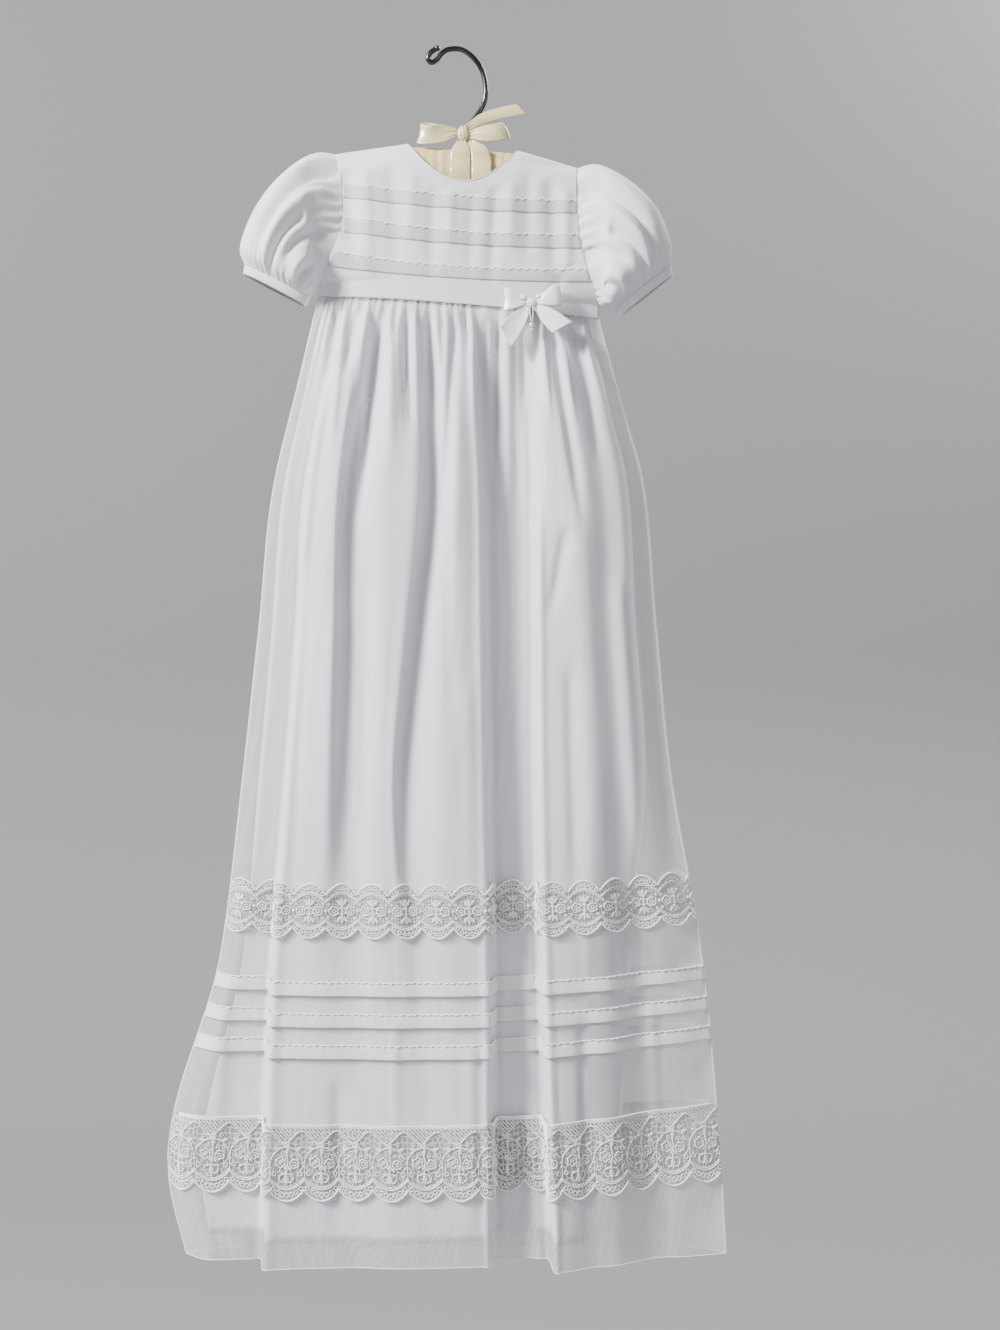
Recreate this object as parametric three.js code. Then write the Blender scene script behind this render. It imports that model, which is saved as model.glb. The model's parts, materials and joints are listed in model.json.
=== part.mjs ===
// A christening gown on a padded hanger, in millimetres.
// X runs to the right as the front is seen, Y to the back and Z up.
// The origin is the inner top of the hook, where a rail holds it.
import * as THREE from 'three';

// Cloth, ribbon and the gaps between pieces
const CLOTH = 1.2;
const HALF = CLOTH / 2;
const RIBBON = 0.8;
const TRIM = 1.0;
const SEAM_GAP = 0.3;
const LAYER_GAP = 0.5;
const SIDE_SEAM_Y = 0.85;
const ARMHOLE_GAP = 0.5;
const MITRE_LIMIT = 0.62;

// Neck and shoulders
const NECK_LEFT = { x: -39, z: -72.9 };
const NECK_RIGHT = { x: 47.6, z: -78 };
const SHOULDER_LEFT = { x: -93.9, z: -80.7 };
const SHOULDER_RIGHT = { x: 93.6, z: -91.7 };
const FRONT_NECK_DROP = 30.5;
const BACK_NECK_DROP = 8;
const NECK_ROUNDNESS = 2.1;
const SHOULDER_ROUND = 26;
const ARMHOLE_DEPTH = 12;
const ARMHOLE_ROUND = 20;
const FRONT_CROWN = 18;
const BACK_CROWN = 15.5;
const CROWN_POWER = 2.2;

// The edges of the bodice from shoulder to waist: armhole first, then side seam
const LEFT_EDGE = [
  { x: -93.9, z: -80.7 },
  { x: -89.7, z: -98.7 },
  { x: -88.9, z: -122.9 },
  { x: -88.9, z: -143.1 },
  { x: -97.5, z: -162.6 },
  { x: -106.9, z: -180.6 },
  { x: -107.3, z: -191.2 },
];
const RIGHT_EDGE = [
  { x: 93.6, z: -91.7 },
  { x: 92.8, z: -112.7 },
  { x: 94.4, z: -141.6 },
  { x: 99, z: -165 },
  { x: 103, z: -177.5 },
  { x: 109, z: -192.5 },
  { x: 110.5, z: -198.5 },
  { x: 110, z: -208.7 },
];
const UNDERARM_LEFT = -180.6;
const UNDERARM_RIGHT = -197;

// Rows across the bodice front: height at the left edge, the middle and the right edge,
// how far the tuck stands out there, and the depth of the crown
const FRONT_ROWS = [
  { left: -105.7, middle: -116.6, right: -119.7, raise: 0, crown: 18 },
  { left: -107, middle: -117.9, right: -121, raise: 1.1, crown: 18 },
  { left: -116.4, middle: -126.8, right: -129.1, raise: 1.4, crown: 18 },
  { left: -117.3, middle: -127.7, right: -130, raise: 0, crown: 18 },
  { left: -131.4, middle: -143.5, right: -145.5, raise: 0, crown: 17.5 },
  { left: -132.7, middle: -144.8, right: -146.8, raise: 1.1, crown: 17.5 },
  { left: -143.1, middle: -153.3, right: -156.4, raise: 1.4, crown: 17 },
  { left: -144, middle: -154.2, right: -157.3, raise: 0, crown: 17 },
  { left: -158.2, middle: -170.4, right: -172, raise: 0, crown: 16.5 },
  { left: -159.5, middle: -171.7, right: -173.3, raise: 1.1, crown: 16.5 },
  { left: -168.9, middle: -179.4, right: -181.4, raise: 1.4, crown: 16 },
  { left: -169.8, middle: -180.3, right: -182.3, raise: 0, crown: 16 },
  { left: -180.6, middle: -190, right: -197, raise: 0, crown: 15.5 },
  { left: -191.2, middle: -199.3, right: -208.7, raise: 0, crown: 15 },
];
const BACK_ROWS = [
  { left: -105.7, middle: -112, right: -116, raise: 0, crown: 15.5 },
  { left: -123, middle: -128, right: -130, raise: 0, crown: 15.5 },
  { left: -143.1, middle: -146, right: -148, raise: 0, crown: 15.5 },
  { left: -162.6, middle: -164, right: -165, raise: 0, crown: 15 },
  { left: -172, middle: -176, right: -180, raise: 0, crown: 14.5 },
  { left: -180.6, middle: -189, right: -197, raise: 0, crown: 14 },
  { left: -191.2, middle: -199.3, right: -208.7, raise: 0, crown: 13.5 },
];
const MIDDLE_SHARE = 0.45;
const SHOULDER_CELLS = 4;
const NECK_CELLS = 12;
const TOP_STEPS = [0, 0.1, 0.34, 0.66];
const BACK_LAP = 7;
const LAP_RISE = CLOTH + 2 * SEAM_GAP;
const BACK_HALF_CELLS = 8;
const BUTTON = { radius: 4.2, thickness: 2, sides: 10 };
const BUTTON_HEIGHTS = [-98, -138, -178];
const LOWEST_BUTTON_IN = 0.6;

// Sleeve rings from the armhole to the cuff: the upper end of each ring, its lower end, and
// how far it stands out at the front
const LEFT_SLEEVE = [
  { upX: -108.4, upZ: -80, lowX: -107.9, lowZ: -182.6, depth: 19, gather: 0.9 },
  { upX: -124.8, upZ: -88, lowX: -109.4, lowZ: -184.6, depth: 25, gather: 0.5 },
  { upX: -144.3, upZ: -106, lowX: -111.2, lowZ: -186.6, depth: 28, gather: 0 },
  { upX: -159.9, upZ: -129.9, lowX: -112.8, lowZ: -188.6, depth: 27, gather: 0 },
  { upX: -168.5, upZ: -154, lowX: -114.2, lowZ: -190.6, depth: 20, gather: 0.6 },
  { upX: -165, upZ: -167.3, lowX: -115.4, lowZ: -192.7, depth: 11, gather: 0.9 },
];
const RIGHT_SLEEVE = [
  { upX: 106.9, upZ: -88.9, lowX: 112.2, lowZ: -198.6, depth: 19, gather: 0.9 },
  { upX: 122, upZ: -94.4, lowX: 114.2, lowZ: -199.4, depth: 25, gather: 0.5 },
  { upX: 140.6, upZ: -107.3, lowX: 116.4, lowZ: -200.1, depth: 28, gather: 0 },
  { upX: 156.2, upZ: -125, lowX: 118.9, lowZ: -200.7, depth: 27, gather: 0 },
  { upX: 165.8, upZ: -149.4, lowX: 121.5, lowZ: -201, depth: 20, gather: 0.6 },
  { upX: 166.5, upZ: -168.1, lowX: 124, lowZ: -200.9, depth: 11, gather: 0.9 },
];
const LEFT_CUFF = [
  { upX: -164.9, upZ: -168.5, lowX: -116, lowZ: -193.7, depth: 10.6, gather: 0 },
  { upX: -165.8, upZ: -174.2, lowX: -118.4, lowZ: -198.8, depth: 10.2, gather: 0 },
];
const RIGHT_CUFF = [
  { upX: 166.6, upZ: -169.4, lowX: 124.6, lowZ: -202, depth: 10.6, gather: 0 },
  { upX: 167.4, upZ: -175.2, lowX: 128.2, lowZ: -206, depth: 10.2, gather: 0 },
];
const SLEEVE_AROUND = 22;
const SLEEVE_BACK_SHARE = 0.72;
const SLEEVE_SQUARENESS = 0.75;
const CUFF_WALL = 1.5;

// The skirt's levels below the waist seam, and the fold lines that run down through them.
// Each line has its place across and how far it stands forward at every level.
const LEVELS = ['waist', 'thigh', 'knee', 'lace', 'edging', 'hem'];
const LEVEL_HEIGHT = { thigh: -334, knee: -568, lace: -705, edging: -891, hem: -937 };
const fold = (name, cells, across, forward) => ({ name, cells, across, forward });
const FRONT_FOLDS = [
  fold('left seam', 4, [-107.3, -141.2, -166.5, -183.3, -223, -210.6], [0, 0, 0, 0, 0, 0]),
  fold('left hollow', 4, [-99.8, -129, -150.5, -167, -198, -188.5], [8, 9, 10, 11, 14, 14]),
  fold('left foot', 1, [-91.6, -116.7, -133, -144, -150.3, -151], [12, 9, 8, 9, 11, 12]),
  fold('left edge', 4, [-88, -112.6, -128.8, -139.4, -145.6, -146.4], [15, 20, 25, 28, 33, 34]),
  fold('left panel', 4, [-72.5, -90, -99.7, -104.9, -104.8, -104.8], [18, 26, 29, 30, 31, 31]),
  fold('shallow trough', 3, [-53.6, -82, -82.9, -79.3, -76, -76], [13, 15, 22, 28, 30, 30]),
  fold('crease shoulder', 2, [-41.7, -54.9, -57.8, -54.6, -50, -48.5], [19, 27, 30, 31, 32, 32]),
  fold('crease edge', 2, [-32.5, -28.3, -47.8, -41, -33.3, -31], [19, 27, 31, 31, 32, 32]),
  fold('crease foot', 4, [-25.7, -20.9, -40.2, -30.4, -19.7, -17.4], [12, 15, 23, 29, 31, 31]),
  fold('middle panel', 4, [-7.9, -0.8, -7.5, -4.5, 1.6, 3.1], [20, 28, 31, 31, 31, 30]),
  fold('centre edge', 1, [10.4, 18.2, 22.8, 25.5, 25.9, 25.9], [17, 23, 27, 29, 29, 28]),
  fold('centre foot', 3, [15.2, 22.6, 26.9, 29.4, 29.8, 29.8], [12, 12, 11, 10, 10, 10]),
  fold('centre trough', 3, [37.4, 45.1, 44.4, 45.1, 49, 50.5], [13, 8, 9, 9, 9, 9]),
  fold('right foot', 1, [55.1, 57.5, 59.4, 62, 68.9, 71], [14, 10, 10, 10, 12, 13]),
  fold('right edge', 6, [59.6, 62.2, 63.6, 66.2, 73, 74.9], [18, 23, 27, 32, 38, 40]),
  fold('right panel', 5, [76.5, 90.8, 102.1, 107.5, 112.8, 114.3], [19, 25, 28, 28, 28, 27]),
  fold('right slope', 5, [93.7, 116.6, 135.2, 147, 158.9, 161.2], [13, 16, 15, 13, 10, 9]),
  fold('right seam', 0, [110, 143.5, 166.1, 189.5, 206.7, 209.8], [0, 0, 0, 0, 0, 0]),
];
// The back falls more evenly: each line's share of the way from the right seam to the left
const BACK_FOLDS = [
  { share: 0, cells: 3, forward: [0, 0, 0, 0, 0, 0] },
  { share: 0.1, cells: 3, forward: [10, 12, 11, 13, 14, 14] },
  { share: 0.2, cells: 3, forward: [12, 9, 9, 11, 11, 11] },
  { share: 0.31, cells: 4, forward: [13, 16, 17, 18, 20, 20] },
  { share: 0.43, cells: 4, forward: [13, 12, 14, 15, 14, 14] },
  { share: 0.56, cells: 4, forward: [13, 17, 18, 18, 19, 19] },
  { share: 0.68, cells: 4, forward: [13, 11, 12, 13, 13, 13] },
  { share: 0.8, cells: 3, forward: [12, 15, 17, 18, 20, 20] },
  { share: 0.9, cells: 4, forward: [10, 9, 10, 11, 12, 12] },
  { share: 1, cells: 0, forward: [0, 0, 0, 0, 0, 0] },
];
// Rows near the waist, by their distance below the seam, and the level rows under them
const WAIST_ROWS = [SEAM_GAP, 6, 16, 34, 70];
const SEAM_BLEND = 55;
const GATHER = { height: 1.5, fullAt: 5, goneAt: 62 };
const BETWEEN_ROW = -450;
const LIFT_RIGHT = 9;
const LIFT_LEFT = 4;
const LIFT_SHARE = { waist: 0, thigh: 0.4, between: 0.6, knee: 0.8, lace: 1, edging: 0.8, hem: 0 };

// The lining hangs inside the skirt, is narrower at the sides and ends higher
const LINING_GAP = 0.6;
const LINING_SKIPS = 2;
const LINING_HEM_SHARE = 0.6;
const LINING_ROWS = [2, 3, 4, 5, 6, 7, 8, 9, 10];
const LINING_LEFT = [0, 0, 3, 8, 12, 10];
const LINING_LEFT_SHARE = 0.06;
const LINING_RIGHT = [0, 0, 6, 36, 62, 66];
const LINING_RIGHT_FROM = 0.8;
const LINING_BACK_DEPTH = 6.5;

// Tucks round the skirt: the share of the way from the lace level to the edging level
const TUCKS = [
  { name: 'upper', top: 0.09, foot: 0.147 },
  { name: 'middle', top: 0.22, foot: 0.276 },
  { name: 'lower', top: 0.348, foot: 0.405 },
];
// Laces: centre line or top line, heights and the length of one scallop
const GALLOON = { middle: 0.727, peak: 21, valley: 12.8, scallop: 24.6 };
const EDGING = { top: 0.672, peak: 57.5, valley: 49, scallop: 26.5 };
const SCALLOP_POWER = 0.8;
const LACE_SPLIT = 2;

// Hanger: wire hook, padded body and its bow
const WIRE = 4;
const WIRE_SIDES = 8;
const HOOK_STEPS = 34;
const HOOK_ROUTE = [
  [-16.1, 2.4], [-21.4, -1.8], [-22.6, -5.6], [-20.4, -8.4], [-16, -6.6], [-13, -2.6], [-8.6, 0.9],
  [-3, 2.1], [3, 1.6], [9.2, -1.8], [15, -7.4], [19.4, -14.6], [22, -24.6], [22.2, -34.6],
  [20, -42.5], [15.2, -50.4], [10, -58], [7.6, -66], [7, -76.7],
];
const PAD_AROUND = 12;
const PAD_RINGS = [
  { x: -96, high: 4.5, thick: 3.4, drop: 3.4 },
  { x: -93, high: 8, thick: 5.6, drop: 3.4 },
  { x: -80, high: 12, thick: 7.8, drop: 3.4 },
  { x: -56, high: 16, thick: 10.2, drop: 3 },
  { x: -28, high: 20, thick: 12, drop: 1.8 },
  { x: 4, high: 21, thick: 12.4, drop: 1.5 },
  { x: 36, high: 20, thick: 12, drop: 1.8 },
  { x: 62, high: 15.5, thick: 9.8, drop: 3.2 },
  { x: 80, high: 11, thick: 6.8, drop: 3.4 },
  { x: 90, high: 7.5, thick: 4.6, drop: 3.4 },
  { x: 92.6, high: 4, thick: 2.6, drop: 3.4 },
];
const HOOK_BOW = { x: 5, y: -5.8, z: -66 };
const HOOK_KNOT = { x: 4.6, y: 3.4, z: 6 };
const WAIST_BOW = { x: 57.7, z: -199.5 };
const WAIST_KNOT = { x: 4, y: 2.6, z: 3.4 };

const CLOTH_FINISH = { color: 0xf1f1f6, roughness: 0.8 };
const SHEER_FINISH = { color: 0xeeeef4, roughness: 0.55 };
const LACE_FINISH = { color: 0xf3f2ec, roughness: 0.7 };
const SATIN_FINISH = { color: 0xf4f4f4, roughness: 0.35 };
const IVORY_FINISH = { color: 0xece4cb, roughness: 0.4 };
const PAD_FINISH = { color: 0xe0d2bb, roughness: 0.75 };
const WIRE_FINISH = { color: 0x4b4743, roughness: 0.25, metalness: 1 };
const BUTTON_FINISH = { color: 0xf6f5f0, roughness: 0.25 };

const gown = new THREE.Group();

const clamp = (value, low = 0, high = 1) => Math.min(high, Math.max(low, value));
const lerp = THREE.MathUtils.lerp;
const ease = (t) => THREE.MathUtils.smoothstep(t, 0, 1);

function add(name, geometry, finish) {
  const mesh = new THREE.Mesh(geometry, new THREE.MeshStandardMaterial(finish));
  mesh.name = name;
  gown.add(mesh);
}

// The place across of an edge at a height
function edgeX(edge, z) {
  if (z >= edge[0].z) return edge[0].x;
  const last = edge[edge.length - 1];
  if (z <= last.z) return last.x;
  const k = edge.findIndex((point) => point.z <= z);
  const share = (edge[k - 1].z - z) / (edge[k - 1].z - edge[k].z);
  return lerp(edge[k - 1].x, edge[k].x, share);
}

// The direction in which each grid point moves off the surface, longer at sharp folds so that
// the wall keeps its thickness there
function directions(grid, wrap) {
  const rows = grid.length;
  const columns = grid[0].length;
  const at = (j, i) => grid[j][wrap ? (i + columns) % columns : i];
  const inside = (j, i) => j >= 0 && j < rows && (wrap || (i >= 0 && i < columns));
  const corners = [[1, 1], [1, -1], [-1, 1], [-1, -1]];
  return grid.map((row, j) => row.map((point, i) => {
    const faces = [];
    for (const [down, across] of corners) {
      if (!inside(j + down, i) || !inside(j, i + across)) continue;
      const v = at(j + down, i).clone().sub(point).multiplyScalar(down);
      const u = at(j, i + across).clone().sub(point).multiplyScalar(across);
      faces.push(v.cross(u).normalize());
    }
    const mean = new THREE.Vector3();
    faces.forEach((face) => mean.add(face));
    mean.normalize();
    const cosine = faces.reduce((sum, face) => sum + face.dot(mean), 0) / faces.length;
    return mean.divideScalar(Math.max(MITRE_LIMIT, cosine));
  }));
}

function moved(grid, ways, distance) {
  return grid.map((row, j) => row.map((p, i) => p.clone().addScaledVector(ways[j][i], distance)));
}

// One closed wall between two grids of the same size
function closedWall(inner, outer, wrap = false) {
  const rows = outer.length;
  const columns = outer[0].length;
  const points = [...outer.flat(), ...inner.flat()];
  const o = (j, i) => j * columns + (wrap ? i % columns : i);
  const n = (j, i) => rows * columns + o(j, i);
  const triangles = [];
  const quad = (a, b, c, d) => triangles.push(a, b, c, a, c, d);
  const cells = wrap ? columns : columns - 1;
  for (let j = 0; j < rows - 1; j += 1) {
    for (let i = 0; i < cells; i += 1) {
      triangles.push(o(j, i), o(j + 1, i), o(j + 1, i + 1), o(j, i), o(j + 1, i + 1), o(j, i + 1));
      triangles.push(n(j, i), n(j + 1, i + 1), n(j + 1, i), n(j, i), n(j, i + 1), n(j + 1, i + 1));
    }
    if (!wrap) {
      quad(o(j + 1, 0), o(j, 0), n(j, 0), n(j + 1, 0));
      quad(o(j, cells), o(j + 1, cells), n(j + 1, cells), n(j, cells));
    }
  }
  for (let i = 0; i < cells; i += 1) {
    quad(o(0, i), o(0, i + 1), n(0, i + 1), n(0, i));
    quad(o(rows - 1, i + 1), o(rows - 1, i), n(rows - 1, i), n(rows - 1, i + 1));
  }
  return facingOut(points, triangles);
}

// One closed solid through rings, with a point at the middle of each end
function solidThrough(rings) {
  const around = rings[0].length;
  const middle = (ring) => ring.reduce((sum, p) => sum.add(p), new THREE.Vector3())
    .divideScalar(around);
  const points = [...rings.flat(), middle(rings[0]), middle(rings[rings.length - 1])];
  const first = points.length - 2;
  const at = (j, i) => j * around + (i % around);
  const triangles = [];
  for (let i = 0; i < around; i += 1) {
    for (let j = 0; j < rings.length - 1; j += 1) {
      triangles.push(at(j, i), at(j + 1, i), at(j + 1, i + 1), at(j, i), at(j + 1, i + 1), at(j, i + 1));
    }
    triangles.push(first, at(0, i), at(0, i + 1));
    triangles.push(first + 1, at(rings.length - 1, i + 1), at(rings.length - 1, i));
  }
  return facingOut(points, triangles);
}

// Turns every triangle round where the solid would be inside out
function facingOut(points, triangles) {
  let volume = 0;
  for (let k = 0; k < triangles.length; k += 3) {
    const [a, b, c] = [0, 1, 2].map((m) => points[triangles[k + m]]);
    volume += a.dot(b.clone().cross(c));
  }
  if (volume < 0) triangles.reverse();
  const geometry = new THREE.BufferGeometry().setFromPoints(points);
  geometry.setIndex(triangles);
  geometry.computeVertexNormals();
  return geometry;
}

function wall(grid, thickness = CLOTH, wrap = false, square = () => {}) {
  const ways = directions(grid, wrap);
  square(ways);
  return closedWall(moved(grid, ways, -thickness / 2), moved(grid, ways, thickness / 2), wrap);
}

// Cuts a panel's two side edges square across, so that a seam keeps its gap
function squareSides(ways) {
  ways.forEach((row) => {
    row[0].x = 0;
    row.at(-1).x = 0;
  });
}

// Cuts the first ring of a sleeve square across
function squareFirstRing(ways) {
  ways[0].forEach((way) => { way.x = 0; });
}

// The height of the shoulder line, which runs level from neck corner to neck corner
function shoulderZ(x) {
  const stops = [SHOULDER_LEFT, NECK_LEFT, NECK_RIGHT, SHOULDER_RIGHT];
  const k = 1 + (x > NECK_LEFT.x) + (x > NECK_RIGHT.x);
  return lerp(stops[k - 1].z, stops[k].z, (x - stops[k - 1].x) / (stops[k].x - stops[k - 1].x));
}

// A quarter of an ellipse from the shoulder seam down over the padded hanger
function shoulderRise(drop) {
  return Math.sqrt(1 - (1 - clamp(drop / SHOULDER_ROUND)) ** 2);
}

function armholeDepth(z, top, underarm) {
  const low = Math.sqrt(clamp((z - underarm) / ARMHOLE_ROUND));
  return Math.max(SIDE_SEAM_Y, ARMHOLE_DEPTH * shoulderRise(top - z) * low);
}

// How far the bodice stands out at a share of the way across
function bodiceDepth(share, x, z, crown) {
  const left = armholeDepth(z, SHOULDER_LEFT.z, UNDERARM_LEFT);
  const right = armholeDepth(z, SHOULDER_RIGHT.z, UNDERARM_RIGHT);
  const edge = lerp(left, right, share);
  const rise = shoulderRise(shoulderZ(x) - z);
  const swell = 1 - Math.abs(2 * share - 1) ** CROWN_POWER;
  return Math.max(SIDE_SEAM_Y, lerp(Math.min(edge, crown), crown * rise, swell));
}

function rowZ(row, share) {
  const m = MIDDLE_SHARE;
  const atLeft = (row.left * (share - m) * (share - 1)) / m;
  const atMiddle = (row.middle * share * (share - 1)) / (m * (m - 1));
  const atRight = (row.right * share * (share - m)) / (1 - m);
  return atLeft + atMiddle + atRight;
}

// The shares across at which the bodice has a column: close together round the neck
function bodiceShares() {
  const width = SHOULDER_RIGHT.x - SHOULDER_LEFT.x;
  const neckFrom = (NECK_LEFT.x - SHOULDER_LEFT.x) / width;
  const neckTo = (NECK_RIGHT.x - SHOULDER_LEFT.x) / width;
  const shares = [];
  for (let i = 0; i < SHOULDER_CELLS; i += 1) shares.push((neckFrom * i) / SHOULDER_CELLS);
  for (let i = 0; i < NECK_CELLS; i += 1) {
    shares.push(lerp(neckFrom, neckTo, (1 - Math.cos((Math.PI * i) / NECK_CELLS)) / 2));
  }
  for (let i = 0; i <= SHOULDER_CELLS; i += 1) {
    shares.push(lerp(neckTo, 1, i / SHOULDER_CELLS));
  }
  return shares;
}

// The top edge of a bodice panel: shoulder, neckline, shoulder
function topEdgeZ(x, neckDrop) {
  const middle = (NECK_LEFT.x + NECK_RIGHT.x) / 2;
  const reach = Math.abs(x - middle) / ((NECK_RIGHT.x - NECK_LEFT.x) / 2);
  return shoulderZ(x) - neckDrop * Math.max(0, 1 - reach ** NECK_ROUNDNESS);
}

// The surface of a bodice panel; side is -1 for the front and 1 for the back
function bodiceGrid(shares, rows, neckDrop, side, rise = () => 0) {
  const point = (share, x, z, crown, raise) => {
    const depth = bodiceDepth(share, x, z, crown) + raise + rise(x);
    return new THREE.Vector3(x, side * depth, z);
  };
  const crownTop = side < 0 ? FRONT_CROWN : BACK_CROWN;
  const grid = [];
  for (const down of TOP_STEPS) {
    grid.push(shares.map((share) => {
      const topX = lerp(SHOULDER_LEFT.x, SHOULDER_RIGHT.x, share);
      const lowZ = rowZ(rows[0], share);
      const lowX = lerp(edgeX(LEFT_EDGE, lowZ), edgeX(RIGHT_EDGE, lowZ), share);
      const z = lerp(topEdgeZ(topX, neckDrop), lowZ, down);
      const bothEnds = lerp(edgeX(LEFT_EDGE, z), edgeX(RIGHT_EDGE, z), share);
      const x = lerp(lerp(topX, lowX, down), bothEnds, Math.abs(2 * share - 1) ** 6);
      return point(share, x, z, crownTop, 0);
    }));
  }
  for (const row of rows) {
    grid.push(shares.map((share) => {
      const z = rowZ(row, share);
      const x = lerp(edgeX(LEFT_EDGE, z), edgeX(RIGHT_EDGE, z), share);
      return point(share, x, z, row.crown, row.raise);
    }));
  }
  return grid;
}

// A front panel with its tucks raised on the outer face over a plain inner face
function bodiceFront() {
  const shares = bodiceShares();
  const plainRows = FRONT_ROWS.map((row) => ({ ...row, raise: 0 }));
  const plain = bodiceGrid(shares, plainRows, FRONT_NECK_DROP, -1);
  const tucked = bodiceGrid(shares, FRONT_ROWS, FRONT_NECK_DROP, -1);
  const ways = directions(plain, false);
  squareSides(ways);
  return closedWall(moved(plain, ways, -HALF), moved(tucked, ways, HALF));
}

// Half of the back, with its lap at the centre closing; the upper half lies over the lower
function bodiceBack(upper) {
  const middle = (NECK_LEFT.x + NECK_RIGHT.x) / 2;
  const width = SHOULDER_RIGHT.x - SHOULDER_LEFT.x;
  const lapShare = BACK_LAP / width;
  const centre = (middle - SHOULDER_LEFT.x) / width;
  const from = upper ? 1 : centre + lapShare;
  const to = upper ? centre - lapShare : 0;
  const shares = [];
  for (let i = 0; i <= BACK_HALF_CELLS; i += 1) {
    shares.push(lerp(from, to, i / BACK_HALF_CELLS));
  }
  const lift = (x) => (upper ? LAP_RISE * ease((middle + 3 * BACK_LAP - x) / (2 * BACK_LAP)) : 0);
  return wall(bodiceGrid(shares, BACK_ROWS, BACK_NECK_DROP, 1, lift), CLOTH, false, squareSides);
}

function addButtons() {
  const x = (NECK_LEFT.x + NECK_RIGHT.x) / 2;
  BUTTON_HEIGHTS.forEach((z, k) => {
    const button = new THREE.CylinderGeometry(
      BUTTON.radius, BUTTON.radius, BUTTON.thickness, BUTTON.sides);
    const out = BACK_CROWN + LAP_RISE + HALF + SEAM_GAP + BUTTON.thickness / 2;
    const inward = k === BUTTON_HEIGHTS.length - 1 ? LOWEST_BUTTON_IN : 0;
    button.translate(x, out - inward, z);
    add(`back_button_${k + 1}`, button, BUTTON_FINISH);
  });
}

// One ring of a sleeve: the cosine carries it from its upper end to its lower end
function sleeveRing(ring) {
  const points = [];
  for (let i = 0; i < SLEEVE_AROUND; i += 1) {
    const turn = (2 * Math.PI * i) / SLEEVE_AROUND;
    const along = Math.cos(turn);
    const out = Math.abs(Math.sin(turn)) ** SLEEVE_SQUARENESS;
    const front = Math.sin(turn) >= 0;
    const pucker = (i % 2 === 0 ? 1 : -1) * ring.gather;
    const depth = (ring.depth + pucker) * (front ? 1 : SLEEVE_BACK_SHARE);
    const x = lerp(ring.lowX, ring.upX, (1 + along) / 2);
    const z = lerp(ring.lowZ, ring.upZ, (1 + along) / 2);
    points.push(new THREE.Vector3(x, (front ? -1 : 1) * depth * out, z));
  }
  return points;
}

// The ring at the armhole follows the bodice's own edge
function armholeRing(edge, shoulder, underarm, outward) {
  const points = [];
  for (let i = 0; i < SLEEVE_AROUND; i += 1) {
    const turn = (2 * Math.PI * i) / SLEEVE_AROUND;
    const z = lerp(underarm, shoulder.z, (1 + Math.cos(turn)) / 2);
    const level = armholeDepth(z, shoulder.z, underarm);
    const depth = i % (SLEEVE_AROUND / 2) === 0 ? 0 : level;
    const side = Math.sin(turn) >= 0 ? -1 : 1;
    points.push(new THREE.Vector3(edgeX(edge, z) + outward * ARMHOLE_GAP, side * depth, z));
  }
  return points;
}

function sleeve(table, edge, shoulder, underarm, outward) {
  const rings = table.map((ring) => sleeveRing(ring));
  const first = armholeRing(edge, shoulder, underarm, outward);
  return wall([first, ...rings], CLOTH, true, squareFirstRing);
}

function cuff(table) {
  return wall(table.map((ring) => sleeveRing(ring)), CUFF_WALL, true);
}

// The waist curve that the bodice ends on and the skirt starts from
function waistPoint(x, side) {
  const share = (x - LEFT_EDGE.at(-1).x) / (RIGHT_EDGE.at(-1).x - LEFT_EDGE.at(-1).x);
  const rows = side < 0 ? FRONT_ROWS : BACK_ROWS;
  const z = rowZ(rows.at(-1), share);
  return { z, depth: bodiceDepth(share, x, z, rows.at(-1).crown) };
}

// How the depth goes from one fold line to the next: round at the side seams, soft elsewhere
function swingOf(interval, last) {
  if (interval === 0) return (t) => Math.sin((Math.PI / 2) * t);
  if (interval === last) return (t) => 1 - Math.cos((Math.PI / 2) * t);
  return ease;
}

// Turns a table of fold lines into columns: each has its place and depth at every level
function columnsOf(folds) {
  const columns = [];
  folds.forEach((line, k) => {
    const next = folds[k + 1];
    const count = next ? line.cells : 1;
    const swing = swingOf(k, folds.length - 2);
    for (let i = 0; i < count; i += 1) {
      const t = i / count;
      columns.push({
        across: line.across.map((x, m) => (next ? lerp(x, next.across[m], t) : x)),
        forward: line.forward.map((y, m) => {
          const depth = next ? lerp(y, next.forward[m], swing(t)) : y;
          return Math.max(SIDE_SEAM_Y, depth);
        }),
      });
    }
  });
  return columns;
}

// The rows of a skirt panel: near the waist by distance, and then level by level
function skirtRows() {
  const rows = WAIST_ROWS.map((below) => ({ below, level: 0, mix: 0, lift: 0 }));
  rows.push({ z: LEVEL_HEIGHT.thigh, level: 1, mix: 0, lift: LIFT_SHARE.thigh });
  const between = (LEVEL_HEIGHT.thigh - BETWEEN_ROW) / (LEVEL_HEIGHT.thigh - LEVEL_HEIGHT.knee);
  rows.push({ z: BETWEEN_ROW, level: 1, mix: between, lift: LIFT_SHARE.between });
  for (let level = 2; level < LEVELS.length; level += 1) {
    const name = LEVELS[level];
    rows.push({ z: LEVEL_HEIGHT[name], level, mix: 0, lift: LIFT_SHARE[name] });
  }
  return rows;
}

// How far the gathers stand out at a distance below the seam
function gatherAt(below) {
  const rising = clamp(0.4 + (0.6 * below) / GATHER.fullAt);
  return GATHER.height * rising * (1 - ease(below / GATHER.goneAt));
}

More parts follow.
